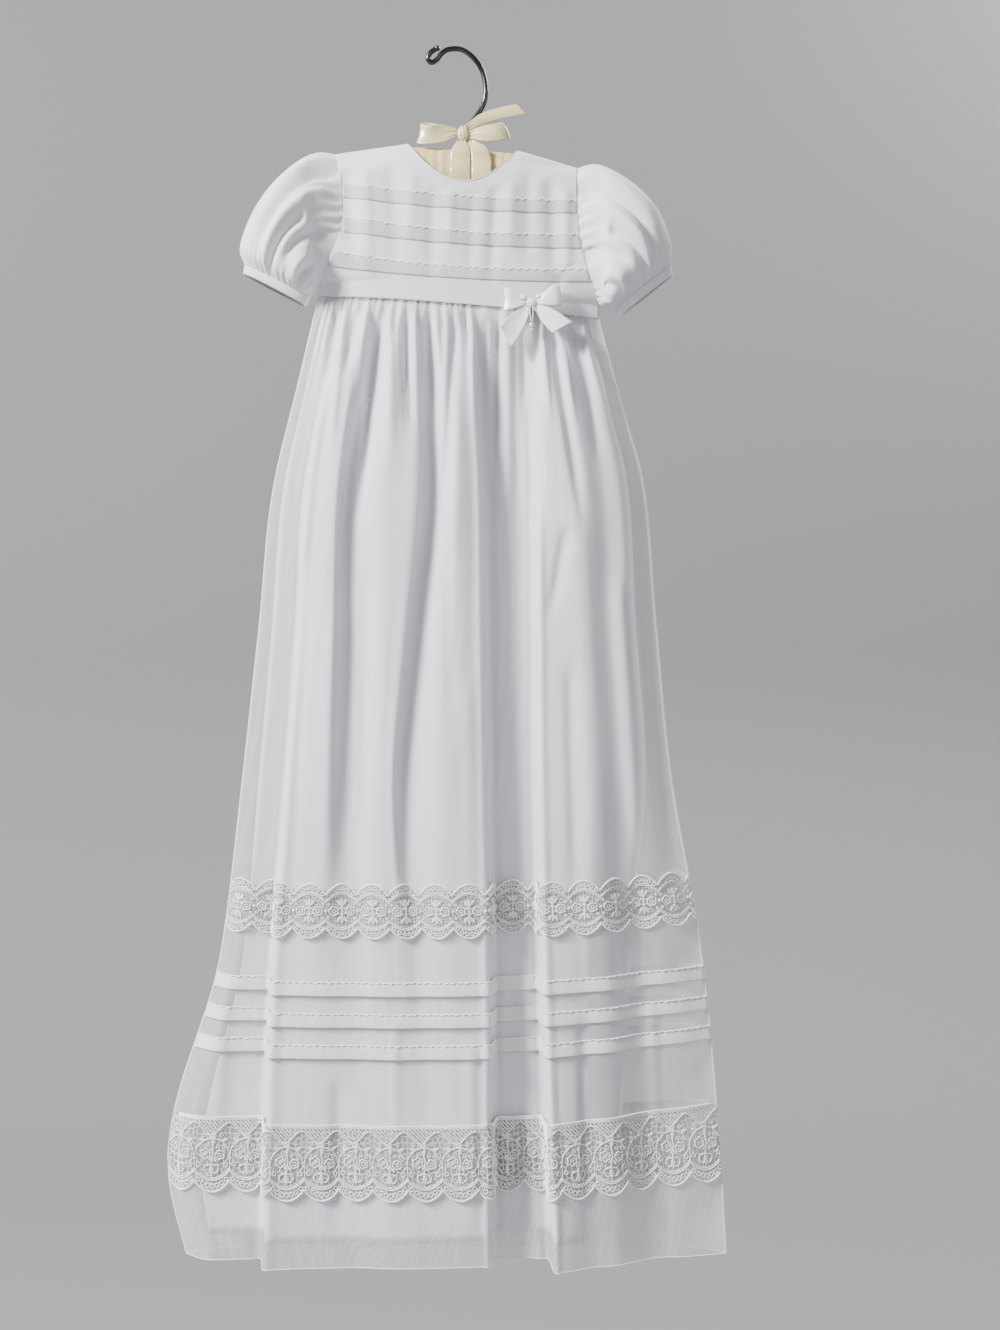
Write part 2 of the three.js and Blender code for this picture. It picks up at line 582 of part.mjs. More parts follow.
function skirtGrid(columns, side) {
  return skirtRows().map((row) => columns.map((column, i) => {
    const seam = waistPoint(column.across[0], side);
    const share = i / (columns.length - 1);
    const right = side < 0 ? share : 1 - share;
    const lift = row.lift * (LIFT_RIGHT * right ** 3 + LIFT_LEFT * (1 - right) ** 3);
    let { x, y, z } = { x: column.across[row.level], y: column.forward[row.level], z: row.z + lift };
    if (row.mix > 0) {
      x = lerp(x, column.across[row.level + 1], row.mix);
      y = lerp(y, column.forward[row.level + 1], row.mix);
    }
    if (row.below !== undefined) {
      z = seam.z - row.below;
      const down = (seam.z - z) / (seam.z - LEVEL_HEIGHT.thigh);
      x = lerp(column.across[0], column.across[1], down);
      const hung = lerp(column.forward[0], column.forward[1], down);
      y = lerp(seam.depth, hung, ease(row.below / SEAM_BLEND));
      const atSeam = i === 0 || i === columns.length - 1;
      const uneven = 0.75 + 0.25 * Math.sin(2.3 * i);
      if (!atSeam) y += (i % 2 === 0 ? 1 : -1) * gatherAt(row.below) * uneven;
    }
    return new THREE.Vector3(x, side * Math.max(SIDE_SEAM_Y, y), z);
  }));
}

const FRONT_COLUMNS = columnsOf(FRONT_FOLDS);
const LEFT_SEAM = FRONT_FOLDS[0].across;
const RIGHT_SEAM = FRONT_FOLDS.at(-1).across;
const BACK_COLUMNS = columnsOf(BACK_FOLDS.map((line) => ({
  ...line,
  across: LEVELS.map((name, m) => lerp(RIGHT_SEAM[m], LEFT_SEAM[m], line.share)),
})));

// A point of a grid at a fraction of a column and of a row, on the same triangles as its wall
function onGrid(grid, column, row) {
  const i = Math.min(Math.floor(column), grid[0].length - 2);
  const j = Math.min(Math.floor(row), grid.length - 2);
  const across = column - i;
  const down = row - j;
  const [a, b, c, d] = [grid[j][i], grid[j][i + 1], grid[j + 1][i + 1], grid[j + 1][i]];
  const point = a.clone();
  if (down >= across) {
    return point.addScaledVector(d.clone().sub(a), down).addScaledVector(c.clone().sub(d), across);
  }
  return point.addScaledVector(b.clone().sub(a), across).addScaledVector(c.clone().sub(b), down);
}

// A band that lies on a skirt panel between two edges, each a row fraction for every column
function bandOn(panel, split, topRow, footRow) {
  const ways = directions(panel, false);
  const cells = (panel[0].length - 1) * split;
  const walls = [HALF + LAYER_GAP, HALF + LAYER_GAP + TRIM].map((distance) => {
    const grid = moved(panel, ways, distance);
    return [topRow, footRow].map((edge) => {
      const row = [];
      for (let i = 0; i <= cells; i += 1) row.push(onGrid(grid, i / split, edge(i / split)));
      return row;
    });
  });
  return closedWall(walls[0], walls[1]);
}

// The distance along a panel's row from its first column to a fraction of a column
function lengthAlong(panel, row, column) {
  let length = 0;
  for (let i = 0; i < Math.floor(column); i += 1) {
    length += panel[row][i].distanceTo(panel[row][i + 1]);
  }
  const rest = column - Math.floor(column);
  if (rest > 0) {
    const i = Math.floor(column);
    length += rest * panel[row][i].distanceTo(panel[row][i + 1]);
  }
  return length;
}

// The row of the panel that stands at a named level below the thigh
function rowOf(name) {
  return WAIST_ROWS.length + LEVELS.indexOf(name);
}

// A scalloped edge as a height between its valleys and its peaks
function scallop(length, lace) {
  const wave = Math.abs(Math.sin((Math.PI * length) / lace.scallop)) ** SCALLOP_POWER;
  return lerp(lace.valley, lace.peak, wave);
}

function addSkirt(name, columns, side) {
  const panel = skirtGrid(columns, side);
  add(`skirt_${name}`, wall(panel), SHEER_FINISH);
  addLining(name, panel, side);
  const laceRow = rowOf('lace');
  for (const tuck of TUCKS) {
    const band = bandOn(panel, 1, () => laceRow + tuck.top, () => laceRow + tuck.foot);
    add(`skirt_tuck_${tuck.name}_${name}`, band, SHEER_FINISH);
  }
  const kneeHeight = LEVEL_HEIGHT.knee - LEVEL_HEIGHT.lace;
  const kneeRow = rowOf('knee');
  const half = (column) => scallop(lengthAlong(panel, laceRow, column), GALLOON) / kneeHeight;
  const galloon = bandOn(panel, LACE_SPLIT,
    (column) => kneeRow + GALLOON.middle - half(column),
    (column) => kneeRow + GALLOON.middle + half(column));
  add(`narrow_lace_${name}`, galloon, LACE_FINISH);
  const edgingHeight = LEVEL_HEIGHT.lace - LEVEL_HEIGHT.edging;
  const drop = (column) => scallop(lengthAlong(panel, laceRow + 1, column), EDGING) / edgingHeight;
  const edging = bandOn(panel, LACE_SPLIT,
    () => laceRow + EDGING.top,
    (column) => laceRow + EDGING.top + drop(column));
  add(`wide_lace_${name}`, edging, LACE_FINISH);
}

// The lining: the skirt's own points moved in, drawn together towards its sides lower down
function addLining(name, panel, side) {
  const inner = moved(panel, directions(panel, false), -(CLOTH + LINING_GAP));
  const first = LINING_ROWS[0];
  const last = panel[0].length - 1 - 2 * LINING_SKIPS;
  const grid = LINING_ROWS.map((j) => inner[j].slice(LINING_SKIPS, -LINING_SKIPS).map((point, i) => {
    const level = j < WAIST_ROWS.length ? 0 : Math.max(1, j - WAIST_ROWS.length);
    const share = i / last;
    const right = side < 0 ? share : 1 - share;
    const hem = level === LEVELS.length - 1;
    const above = inner[j - 1][i + LINING_SKIPS];
    const placed = hem ? above.clone().lerp(point, LINING_HEM_SHARE) : point.clone();
    placed.x += LINING_LEFT[level] * clamp(1 - right / LINING_LEFT_SHARE);
    placed.x -= LINING_RIGHT[level] * clamp((right - LINING_RIGHT_FROM) / (1 - LINING_RIGHT_FROM));
    if (side > 0 && right > LINING_RIGHT_FROM) placed.y = Math.min(placed.y, LINING_BACK_DEPTH);
    if (i === 0 || i === last) placed.y = side * SIDE_SEAM_Y;
    if (j === first) placed.z -= SEAM_GAP;
    return placed;
  }));
  add(`lining_${name}`, wall(grid), CLOTH_FINISH);
}

// A ribbon along a route of stops: each has its place and half of its width as a vector
function ribbon(stops) {
  const grid = stops.map(({ at, half }) => {
    const middle = new THREE.Vector3(...at);
    const reach = new THREE.Vector3(...half);
    return [middle.clone().sub(reach), middle.clone().add(reach)];
  });
  return wall(grid, RIBBON);
}

function addRibbon(name, origin, stops, finish) {
  const placed = stops.map(({ at, half }) => ({
    at: [at[0] + origin.x, at[1] + origin.y, at[2] + origin.z],
    half,
  }));
  add(name, ribbon(placed), finish);
}

function addKnot(name, origin, size, finish) {
  const knot = new THREE.SphereGeometry(1, 8, 6);
  knot.scale(size.x, size.y, size.z);
  knot.translate(origin.x, origin.y, origin.z);
  add(name, knot, finish);
}

function addWaistBow() {
  const seam = waistPoint(WAIST_BOW.x, -1);
  const y = -(seam.depth + HALF + GATHER.height + SEAM_GAP + WAIST_KNOT.y);
  const origin = { x: WAIST_BOW.x, y, z: WAIST_BOW.z };
  addKnot('bow_knot', origin, WAIST_KNOT, SATIN_FINISH);
  addRibbon('bow_loop_left', origin, [
    { at: [-4.6, -0.6, 0.4], half: [0, 0, 2.4] },
    { at: [-11, -2.4, 1], half: [0.4, 0, 5.6] },
    { at: [-18.6, -2.6, 1.6], half: [0.6, 0, 8.2] },
    { at: [-21.4, -0.9, 1.8], half: [0.6, 0, 8.6] },
    { at: [-18.6, 0.8, 1.6], half: [0.6, 0, 8] },
    { at: [-11, 1, 1], half: [0.4, 0, 5.4] },
    { at: [-4.6, 0.9, 0.4], half: [0, 0, 2.4] },
  ], SATIN_FINISH);
  addRibbon('bow_loop_right', origin, [
    { at: [4.6, -0.6, 0.8], half: [0, 0, 2.4] },
    { at: [11, -2.4, 2.6], half: [-0.8, 0, 5.4] },
    { at: [19, -2.6, 5], half: [-1.6, 0, 8.4] },
    { at: [22, -0.9, 5.8], half: [-1.8, 0, 8.8] },
    { at: [19, 0.8, 5], half: [-1.6, 0, 8.2] },
    { at: [11, 1, 2.6], half: [-0.8, 0, 5.2] },
    { at: [4.6, 0.9, 0.8], half: [0, 0, 2.4] },
  ], SATIN_FINISH);
  addRibbon('bow_tail_left', origin, [
    { at: [-2.7, -0.4, -3.5], half: [-1.6, 0, 1.4] },
    { at: [-9.4, -2.6, -13], half: [-4.6, 0, 4.4] },
    { at: [-19.7, -5.6, -27.6], half: [-4.6, -0.6, 8] },
  ], SATIN_FINISH);
  addRibbon('bow_tail_right', origin, [
    { at: [3.4, -0.4, -3.2], half: [1.6, 0, 1.6] },
    { at: [12, -2.6, -10.5], half: [4, 0, 4.8] },
    { at: [23.6, -5.2, -20.4], half: [7.6, 0, 4.2] },
  ], SATIN_FINISH);
}

function addHookBow() {
  const origin = HOOK_BOW;
  addKnot('hanger_bow_knot', origin, HOOK_KNOT, IVORY_FINISH);
  addRibbon('hanger_bow_loop_left', origin, [
    { at: [-5.4, -0.8, 1], half: [0, 0, 3.2] },
    { at: [-16, -3.2, -1], half: [0, 0, 6.8] },
    { at: [-31, -3.4, -1.4], half: [1.6, 0, 7.6] },
    { at: [-34.4, -1, -1], half: [1.6, 0, 7.6] },
    { at: [-31, 1.4, -0.4], half: [1.4, 0, 7.2] },
    { at: [-16, 1.6, 0.4], half: [0, 0, 5.4] },
    { at: [-5.4, 1.2, 1], half: [0, 0, 3] },
  ], IVORY_FINISH);
  addRibbon('hanger_bow_loop_right', origin, [
    { at: [5.4, -0.8, -1], half: [0, 0, 3.2] },
    { at: [15, -3.2, -1.4], half: [-0.6, 0, 6] },
    { at: [30, -3.4, 0.6], half: [-3, 0, 6.6] },
    { at: [33.6, -1, 1], half: [-3, 0, 6.8] },
    { at: [30, 1.4, 1], half: [-2.6, 0, 6.2] },
    { at: [15, 1.6, 0], half: [-0.6, 0, 4.6] },
    { at: [5.4, 1.2, -1], half: [0, 0, 3] },
  ], IVORY_FINISH);
  addRibbon('hanger_bow_tail_up', origin, [
    { at: [3.4, 0.8, 5.1], half: [-1.4, 0, 1.8] },
    { at: [13, 2.6, 11.6], half: [-1.6, 0, 3.4] },
    { at: [28, 2.4, 16.4], half: [-1.4, 0, 4.2] },
    { at: [45.4, 1.6, 19.6], half: [-3.8, 0, 3.8] },
  ], IVORY_FINISH);
  addRibbon('hanger_bow_tail_left', origin, [
    { at: [-1.4, -1, -6.2], half: [3, 0, 0] },
    { at: [-1.8, -6, -15], half: [7.2, 0, 0] },
    { at: [-2, -7.3, -24], half: [7.9, 0, 0] },
    { at: [-2, -7.3, -44], half: [7.9, 0, 0] },
  ], IVORY_FINISH);
  addRibbon('hanger_bow_tail_right', origin, [
    { at: [4.9, 0, -6.4], half: [2.6, 0, 0.8] },
    { at: [12.6, -6, -15], half: [6.4, 0, 1] },
    { at: [14.2, -7.3, -24], half: [7.6, 0, 0] },
    { at: [14.2, -7.3, -44], half: [7.6, 0, 0] },
  ], IVORY_FINISH);
}

function addHanger() {
  const route = new THREE.CatmullRomCurve3(HOOK_ROUTE.map(([x, z]) => new THREE.Vector3(x, 0, z)));
  const section = new THREE.Shape();
  for (let k = 0; k < WIRE_SIDES; k += 1) {
    const turn = (2 * Math.PI * k) / WIRE_SIDES;
    const [x, y] = [(WIRE / 2) * Math.cos(turn), (WIRE / 2) * Math.sin(turn)];
    if (k === 0) section.moveTo(x, y);
    else section.lineTo(x, y);
  }
  const hook = new THREE.ExtrudeGeometry(section, { extrudePath: route, steps: HOOK_STEPS });
  add('hanger_hook', hook, WIRE_FINISH);
  const rings = PAD_RINGS.map(({ x, high, thick, drop }) => {
    const middle = shoulderZ(x) - drop - high;
    const ring = [];
    for (let k = 0; k < PAD_AROUND; k += 1) {
      const turn = (2 * Math.PI * k) / PAD_AROUND;
      ring.push(new THREE.Vector3(x, thick * Math.sin(turn), middle + high * Math.cos(turn)));
    }
    return ring;
  });
  add('hanger_pad', solidThrough(rings), PAD_FINISH);
}

add('bodice_front', bodiceFront(), CLOTH_FINISH);
add('bodice_back_left', bodiceBack(false), CLOTH_FINISH);
add('bodice_back_right', bodiceBack(true), CLOTH_FINISH);
addButtons();
add('sleeve_left', sleeve(LEFT_SLEEVE, LEFT_EDGE, SHOULDER_LEFT, UNDERARM_LEFT, -1), CLOTH_FINISH);
add('sleeve_right', sleeve(RIGHT_SLEEVE, RIGHT_EDGE, SHOULDER_RIGHT, UNDERARM_RIGHT, 1),
  CLOTH_FINISH);
add('cuff_left', cuff(LEFT_CUFF), CLOTH_FINISH);
add('cuff_right', cuff(RIGHT_CUFF), CLOTH_FINISH);
addSkirt('front', FRONT_COLUMNS, -1);
addSkirt('back', BACK_COLUMNS, 1);
addWaistBow();
addHanger();
addHookBow();

export default gown;
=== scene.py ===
"""The looks of a long christening gown on a padded hanger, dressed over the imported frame.

Tables and shapes are in millimetres in the frame's own axes; meshes are made in metres.
"""

import json
import logging
import math
from dataclasses import dataclass, field
from enum import Enum
from typing import Callable, ClassVar, Iterable, Optional, Sequence

import bmesh
import bpy
import numpy as np
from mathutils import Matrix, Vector

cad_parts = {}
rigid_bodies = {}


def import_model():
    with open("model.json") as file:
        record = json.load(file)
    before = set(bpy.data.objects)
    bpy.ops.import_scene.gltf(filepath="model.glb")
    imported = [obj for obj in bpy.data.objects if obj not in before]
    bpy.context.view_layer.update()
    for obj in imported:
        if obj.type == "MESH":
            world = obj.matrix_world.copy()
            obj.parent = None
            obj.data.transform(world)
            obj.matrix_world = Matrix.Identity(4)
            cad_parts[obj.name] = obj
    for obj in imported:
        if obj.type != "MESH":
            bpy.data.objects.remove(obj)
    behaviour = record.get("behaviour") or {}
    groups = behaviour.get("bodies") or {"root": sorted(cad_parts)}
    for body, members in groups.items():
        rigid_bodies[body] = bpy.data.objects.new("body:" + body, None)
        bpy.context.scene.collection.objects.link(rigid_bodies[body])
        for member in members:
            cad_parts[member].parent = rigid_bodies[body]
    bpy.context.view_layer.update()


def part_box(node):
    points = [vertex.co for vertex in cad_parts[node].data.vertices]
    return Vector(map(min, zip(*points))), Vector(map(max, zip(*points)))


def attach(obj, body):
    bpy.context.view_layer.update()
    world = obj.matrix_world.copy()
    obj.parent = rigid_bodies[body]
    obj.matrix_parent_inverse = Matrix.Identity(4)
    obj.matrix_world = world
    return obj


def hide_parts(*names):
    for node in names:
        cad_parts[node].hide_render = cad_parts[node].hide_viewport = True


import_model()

Array = np.ndarray
MM = 0.001
LOG = logging.getLogger("gown")

# Neck, shoulders and the edges of the bodice: armhole first, then side seam
NECK_LEFT, NECK_RIGHT = (-39.0, -72.9), (47.6, -78.0)
SHOULDER_LEFT, SHOULDER_RIGHT = (-93.9, -80.7), (93.6, -91.7)
NECK_MIDDLE = (NECK_LEFT[0] + NECK_RIGHT[0]) / 2
LEFT_EDGE = np.array([
    (-93.9, -80.7), (-89.7, -98.7), (-88.9, -122.9), (-88.9, -143.1), (-97.5, -162.6),
    (-106.9, -180.6), (-107.3, -191.2),
])
RIGHT_EDGE = np.array([
    (93.6, -91.7), (92.8, -112.7), (94.4, -141.6), (99, -165), (103, -177.5),
    (109, -192.5), (110.5, -198.5), (110, -208.7),
])
UNDERARM_LEFT, UNDERARM_RIGHT = -180.6, -197.0
FRONT_NECK_DROP, BACK_NECK_DROP, NECK_ROUNDNESS = 30.5, 8.0, 2.1
SHOULDER_ROUND, ARMHOLE_DEPTH, ARMHOLE_ROUND = 26.0, 12.0, 20.0
CROWN_POWER = 2.2
SIDE_SEAM_Y, MIDDLE_SHARE = 0.85, 0.45
BACK_LAP, LAP_RISE = 7.0, 1.8

# Rows across the bodice: height at the left edge, the middle and the right edge, and crown
FRONT_ROWS = np.array([
    (-105.7, -116.6, -119.7, 18), (-117.3, -127.7, -130, 18), (-131.4, -143.5, -145.5, 17.5),
    (-144, -154.2, -157.3, 17), (-158.2, -170.4, -172, 16.5), (-169.8, -180.3, -182.3, 16),
    (-180.6, -190, -197, 15.5), (-191.2, -199.3, -208.7, 15),
])
BACK_ROWS = np.array([
    (-105.7, -112, -116, 15.5), (-123, -128, -130, 15.5), (-143.1, -146, -148, 15.5),
    (-162.6, -164, -165, 15), (-172, -176, -180, 14.5), (-180.6, -189, -197, 14),
    (-191.2, -199.3, -208.7, 13.5),
])
# Tucks on the bodice: the stitched line at the top and the fold at the foot, each as heights
# at the left edge, the middle and the right edge
BODICE_TUCKS = (
    ((-106.2, -117.1, -120.2), (-117.0, -127.4, -129.7)),
    ((-131.9, -144.0, -146.0), (-143.7, -153.9, -157.0)),
    ((-158.7, -170.9, -172.5), (-169.5, -180.0, -182.0)),
)

# Sleeve rings: upper end, lower end and depth at the front
LEFT_SLEEVE = np.array([
    (-108.4, -80, -107.9, -182.6, 19), (-124.8, -88, -109.4, -184.6, 25),
    (-144.3, -106, -111.2, -186.6, 28), (-159.9, -129.9, -112.8, -188.6, 27),
    (-168.5, -154, -114.2, -190.6, 20), (-165, -167.3, -115.4, -192.7, 11),
])
RIGHT_SLEEVE = np.array([
    (106.9, -88.9, 112.2, -198.6, 19), (122, -94.4, 114.2, -199.4, 25),
    (140.6, -107.3, 116.4, -200.1, 28), (156.2, -125, 118.9, -200.7, 27),
    (165.8, -149.4, 121.5, -201, 20), (166.5, -168.1, 124, -200.9, 11),
])
LEFT_CUFF = np.array([(-164.9, -168.5, -116, -193.7, 10.6), (-165.8, -174.2, -118.4, -198.8, 10.2)])
RIGHT_CUFF = np.array([(166.6, -169.4, 124.6, -202, 10.6), (167.4, -175.2, 128.2, -206, 10.2)])
SLEEVE_BACK_SHARE, SLEEVE_SQUARENESS = 0.72, 0.75

# Fold lines down the skirt: cells to the next line, place across and how far forward at the
# waist, thigh, knee, lace, edging and hem
LEVEL_HEIGHTS = (-334.0, -568.0, -705.0, -891.0, -937.0)
FRONT_FOLDS = (
    (4, (-107.3, -141.2, -166.5, -183.3, -223, -210.6), (0, 0, 0, 0, 0, 0)),
    (4, (-99.8, -129, -150.5, -167, -198, -188.5), (8, 9, 10, 11, 14, 14)),
    (1, (-91.6, -116.7, -133, -144, -150.3, -151), (12, 9, 8, 9, 11, 12)),
    (4, (-88, -112.6, -128.8, -139.4, -145.6, -146.4), (15, 20, 25, 28, 33, 34)),
    (4, (-72.5, -90, -99.7, -104.9, -104.8, -104.8), (18, 26, 29, 30, 31, 31)),
    (3, (-53.6, -82, -82.9, -79.3, -76, -76), (13, 15, 22, 28, 30, 30)),
    (2, (-41.7, -54.9, -57.8, -54.6, -50, -48.5), (19, 27, 30, 31, 32, 32)),
    (2, (-32.5, -28.3, -47.8, -41, -33.3, -31), (19, 27, 31, 31, 32, 32)),
    (4, (-25.7, -20.9, -40.2, -30.4, -19.7, -17.4), (12, 15, 23, 29, 31, 31)),
    (4, (-7.9, -0.8, -7.5, -4.5, 1.6, 3.1), (20, 28, 31, 31, 31, 30)),
    (1, (10.4, 18.2, 22.8, 25.5, 25.9, 25.9), (17, 23, 27, 29, 29, 28)),
    (3, (15.2, 22.6, 26.9, 29.4, 29.8, 29.8), (12, 12, 11, 10, 10, 10)),
    (3, (37.4, 45.1, 44.4, 45.1, 49, 50.5), (13, 8, 9, 9, 9, 9)),
    (1, (55.1, 57.5, 59.4, 62, 68.9, 71), (14, 10, 10, 10, 12, 13)),
    (6, (59.6, 62.2, 63.6, 66.2, 73, 74.9), (18, 23, 27, 32, 38, 40)),
    (5, (76.5, 90.8, 102.1, 107.5, 112.8, 114.3), (19, 25, 28, 28, 28, 27)),
    (5, (93.7, 116.6, 135.2, 147, 158.9, 161.2), (13, 16, 15, 13, 10, 9)),
    (0, (110, 143.5, 166.1, 189.5, 206.7, 209.8), (0, 0, 0, 0, 0, 0)),
)
BACK_FOLDS = (
    (3, 0, (0, 0, 0, 0, 0, 0)), (3, 0.1, (10, 12, 11, 13, 14, 14)),
    (3, 0.2, (12, 9, 9, 11, 11, 11)), (4, 0.31, (13, 16, 17, 18, 20, 20)),
    (4, 0.43, (13, 12, 14, 15, 14, 14)), (4, 0.56, (13, 17, 18, 18, 19, 19)),
    (4, 0.68, (13, 11, 12, 13, 13, 13)), (3, 0.8, (12, 15, 17, 18, 20, 20)),
    (4, 0.9, (10, 9, 10, 11, 12, 12)), (0, 1, (0, 0, 0, 0, 0, 0)),
)
# Rows below the waist seam, how its gathers rise and fade, and the row between two levels
WAIST_ROWS = (0.3, 6.0, 16.0, 34.0, 70.0)
SEAM_BLEND, GATHER_HEIGHT, GATHER_FULL, GATHER_GONE = 55.0, 1.5, 5.0, 62.0
BETWEEN_ROW = -450.0
# How far the cloth's sides hang higher, and the share of that at each level
LIFT_RIGHT, LIFT_LEFT = 9.0, 4.0
LEVEL_LIFTS = (0.4, 0.6, 0.8, 1.0, 0.8, 0.0)
SEAM_MIDDLE_Z = -199.3

# Tucks and laces on the skirt, as distances below the middle of the waist seam
SKIRT_TUCKS = (("upper", 522.4, 533.0), ("middle", 546.6, 557.0), ("lower", 570.4, 581.0))
GALLOON_MIDDLE, GALLOON_PEAK, GALLOON_VALLEY, GALLOON_REPEAT = 468.2, 21.0, 12.8, 24.6
EDGING_TOP, EDGING_PEAK, EDGING_VALLEY, EDGING_REPEAT = 630.7, 57.5, 49.0, 26.5
SCALLOP_POWER = 0.8
SCALLOP_MARGIN, NET_ROWS = 0.2, 10
THREAD_SWELL = 1.18

# Radii of the rolled edges, and thickness of the cloths
HEM_ROLL, NECK_ROLL, ARMHOLE_ROLL, SEAM_ROLL, SIDE_ROLL = 0.4, 0.55, 0.42, 0.8, 0.95
BODICE_CLOTH, SLEEVE_CLOTH, CUFF_CLOTH, LINING_CLOTH = 0.7, 0.55, 0.9, 0.4
BODICE_TUCK_CLOTH, SKIRT_TUCK_CLOTH, RIBBON_CLOTH, CURL_CLOTH = 0.4, 0.35, 0.35, 0.3

# Rows of fine cloth on the front and the back, and how far creases stand out and lean
FINE_STEP, BACK_STEP, SKIRT_SPLIT = 4.4, 6.5, 4
CREASE_STEEPNESS, SKIRT_CREASE, SKIRT_UNEVEN = 1.8, 1.4, 0.28
SLEEVE_STEEPNESS, SLEEVE_CREASE = 1.6, 1.2
BUTTON_RADIUS, BUTTON_DEPTH = 4.2, 2.0

# How far the lining lies inside the organza, and how far its edges lie in, row by row
LINING_INSET = 1.9
LINING_LEFT = np.array((0, 0, 0, 0, 0, 0, 1.5, 3, 8, 12, 10), float)
LINING_RIGHT = np.array((0, 0, 0, 0, 0, 0, 3, 6, 36, 62, 66), float)

# Creases in the cloth: where each starts and ends across and in height, how wide it is to each
# side, and how far it stands out or, below zero, in
FRONT_CREASES = np.array([
    (-94, -199, -103, -285, 4.2, -3.4), (-86, -200, -97, -330, 4.6, 2.0),
    (-78, -201, -86, -262, 3.4, -2.4), (-69, -201, -74, -300, 4.0, 1.8),
    (-61, -202, -77, -372, 5.0, -4.2), (-51, -203, -49, -345, 4.4, 2.4),
    (-41, -204, -35, -318, 4.4, -4.4), (-32, -204, -27, -270, 3.2, 1.6),
    (-23, -205, -18, -306, 3.8, -3.4), (-15, -205, -13, -262, 3.0, 1.5),
    (-2, -206, -10, -378, 4.8, -2.8), (5, -206, 12, -246, 2.8, -2.0),
    (13, -207, 16, -300, 3.8, 1.8), (22, -207, 22, -262, 2.8, -2.2),
    (31, -208, 28, -345, 4.0, -3.8), (40, -208, 42, -390, 4.6, 2.2),
    (50, -214, 52, -290, 3.0, -2.2), (59, -214, 64, -404, 4.2, -3.4),
    (66, -212, 73, -300, 3.0, 1.6), (71, -211, 100, -390, 5.6, -3.2),
    (80, -211, 92, -300, 3.4, 1.8), (88, -211, 112, -330, 4.6, -3.0),
    (96, -211, 122, -300, 3.6, 1.6), (102, -211, 120, -275, 3.4, -2.2),
    (-118, -380, -128, -640, 7.0, -1.8), (-90, -420, -98, -690, 8.0, 1.4),
    (-66, -360, -73, -640, 7.0, -1.6), (-8, -380, -4, -560, 8.0, -1.2),
    (10, -480, 14, -690, 8.0, 1.2), (84, -372, 70, -452, 6.0, -1.6),
    (86, -470, 92, -690, 7.5, -1.6), (124, -400, 142, -660, 8.0, 1.8),
    (-178, -720, -186, -880, 7.0, 1.2), (-90, -790, -92, -930, 8.0, -1.3),
    (12, -760, 14, -930, 6.0, 1.0), (96, -740, 100, -925, 8.0, -1.4),
    (150, -730, 160, -920, 7.0, 1.2), (-46, -745, -44, -860, 5.0, 0.9),
])
BACK_CREASES = np.array([
    (-92, -202, -104, -350, 4.6, -3.4), (-80, -203, -86, -290, 3.6, 1.8),
    (-68, -204, -74, -300, 3.8, -3.0), (-52, -205, -66, -430, 5.2, -3.6),
    (-42, -206, -46, -300, 3.8, 1.8), (-30, -206, -34, -320, 3.8, -3.0),
    (-12, -206, -16, -400, 4.8, -3.4), (-2, -207, -2, -300, 3.4, 1.6),
    (10, -207, 12, -310, 3.4, -2.6), (26, -208, 34, -440, 5.0, -3.4),
    (38, -209, 44, -330, 3.6, 1.8), (50, -209, 58, -330, 3.6, -2.8),
    (72, -210, 90, -420, 5.0, -3.4), (84, -211, 96, -320, 3.4, 1.6),
    (94, -212, 110, -340, 4.0, -2.8), (-120, -430, -136, -690, 8.0, 1.6),
    (-60, -500, -66, -760, 8.0, -1.6), (10, -520, 14, -800, 8.0, 1.4),
    (70, -480, 80, -720, 8.0, -1.6), (126, -470, 146, -760, 8.0, 1.5),
    (-20, -760, -22, -925, 8.0, -1.2),
])
BODICE_CREASES = np.array([
    (-84, -92, -80, -186, 6.0, -1.6), (-70, -90, -68, -190, 6.0, 1.4),
    (-50, -88, -46, -190, 7.0, -1.6), (-34, -98, -36, -160, 5.0, 1.0),
    (-18, -108, -20, -194, 5.5, -1.5), (-4, -110, -6, -170, 4.6, 1.1),
    (12, -112, 10, -190, 5.0, -1.1), (30, -108, 26, -196, 5.0, -1.6),
    (42, -104, 42, -170, 4.4, 1.2), (56, -96, 54, -184, 5.4, -1.2),
    (72, -100, 76, -196, 5.6, -1.7), (84, -108, 86, -190, 4.2, 1.3),
    (-86, -150, -58, -187, 4.6, 1.0), (90, -168, 64, -202, 4.4, -1.0),
])
BACK_BODICE_CREASES = np.array([
    (-72, -94, -66, -186, 6.0, -1.6), (-44, -92, -46, -180, 5.6, 1.3),
    (-20, -92, -22, -180, 5.0, -1.1), (34, -96, 30, -186, 5.4, -1.4),
    (62, -98, 68, -192, 5.6, 1.5), (-86, -140, -60, -186, 4.4, 1.0),
    (90, -160, 66, -200, 4.4, -1.1),
])
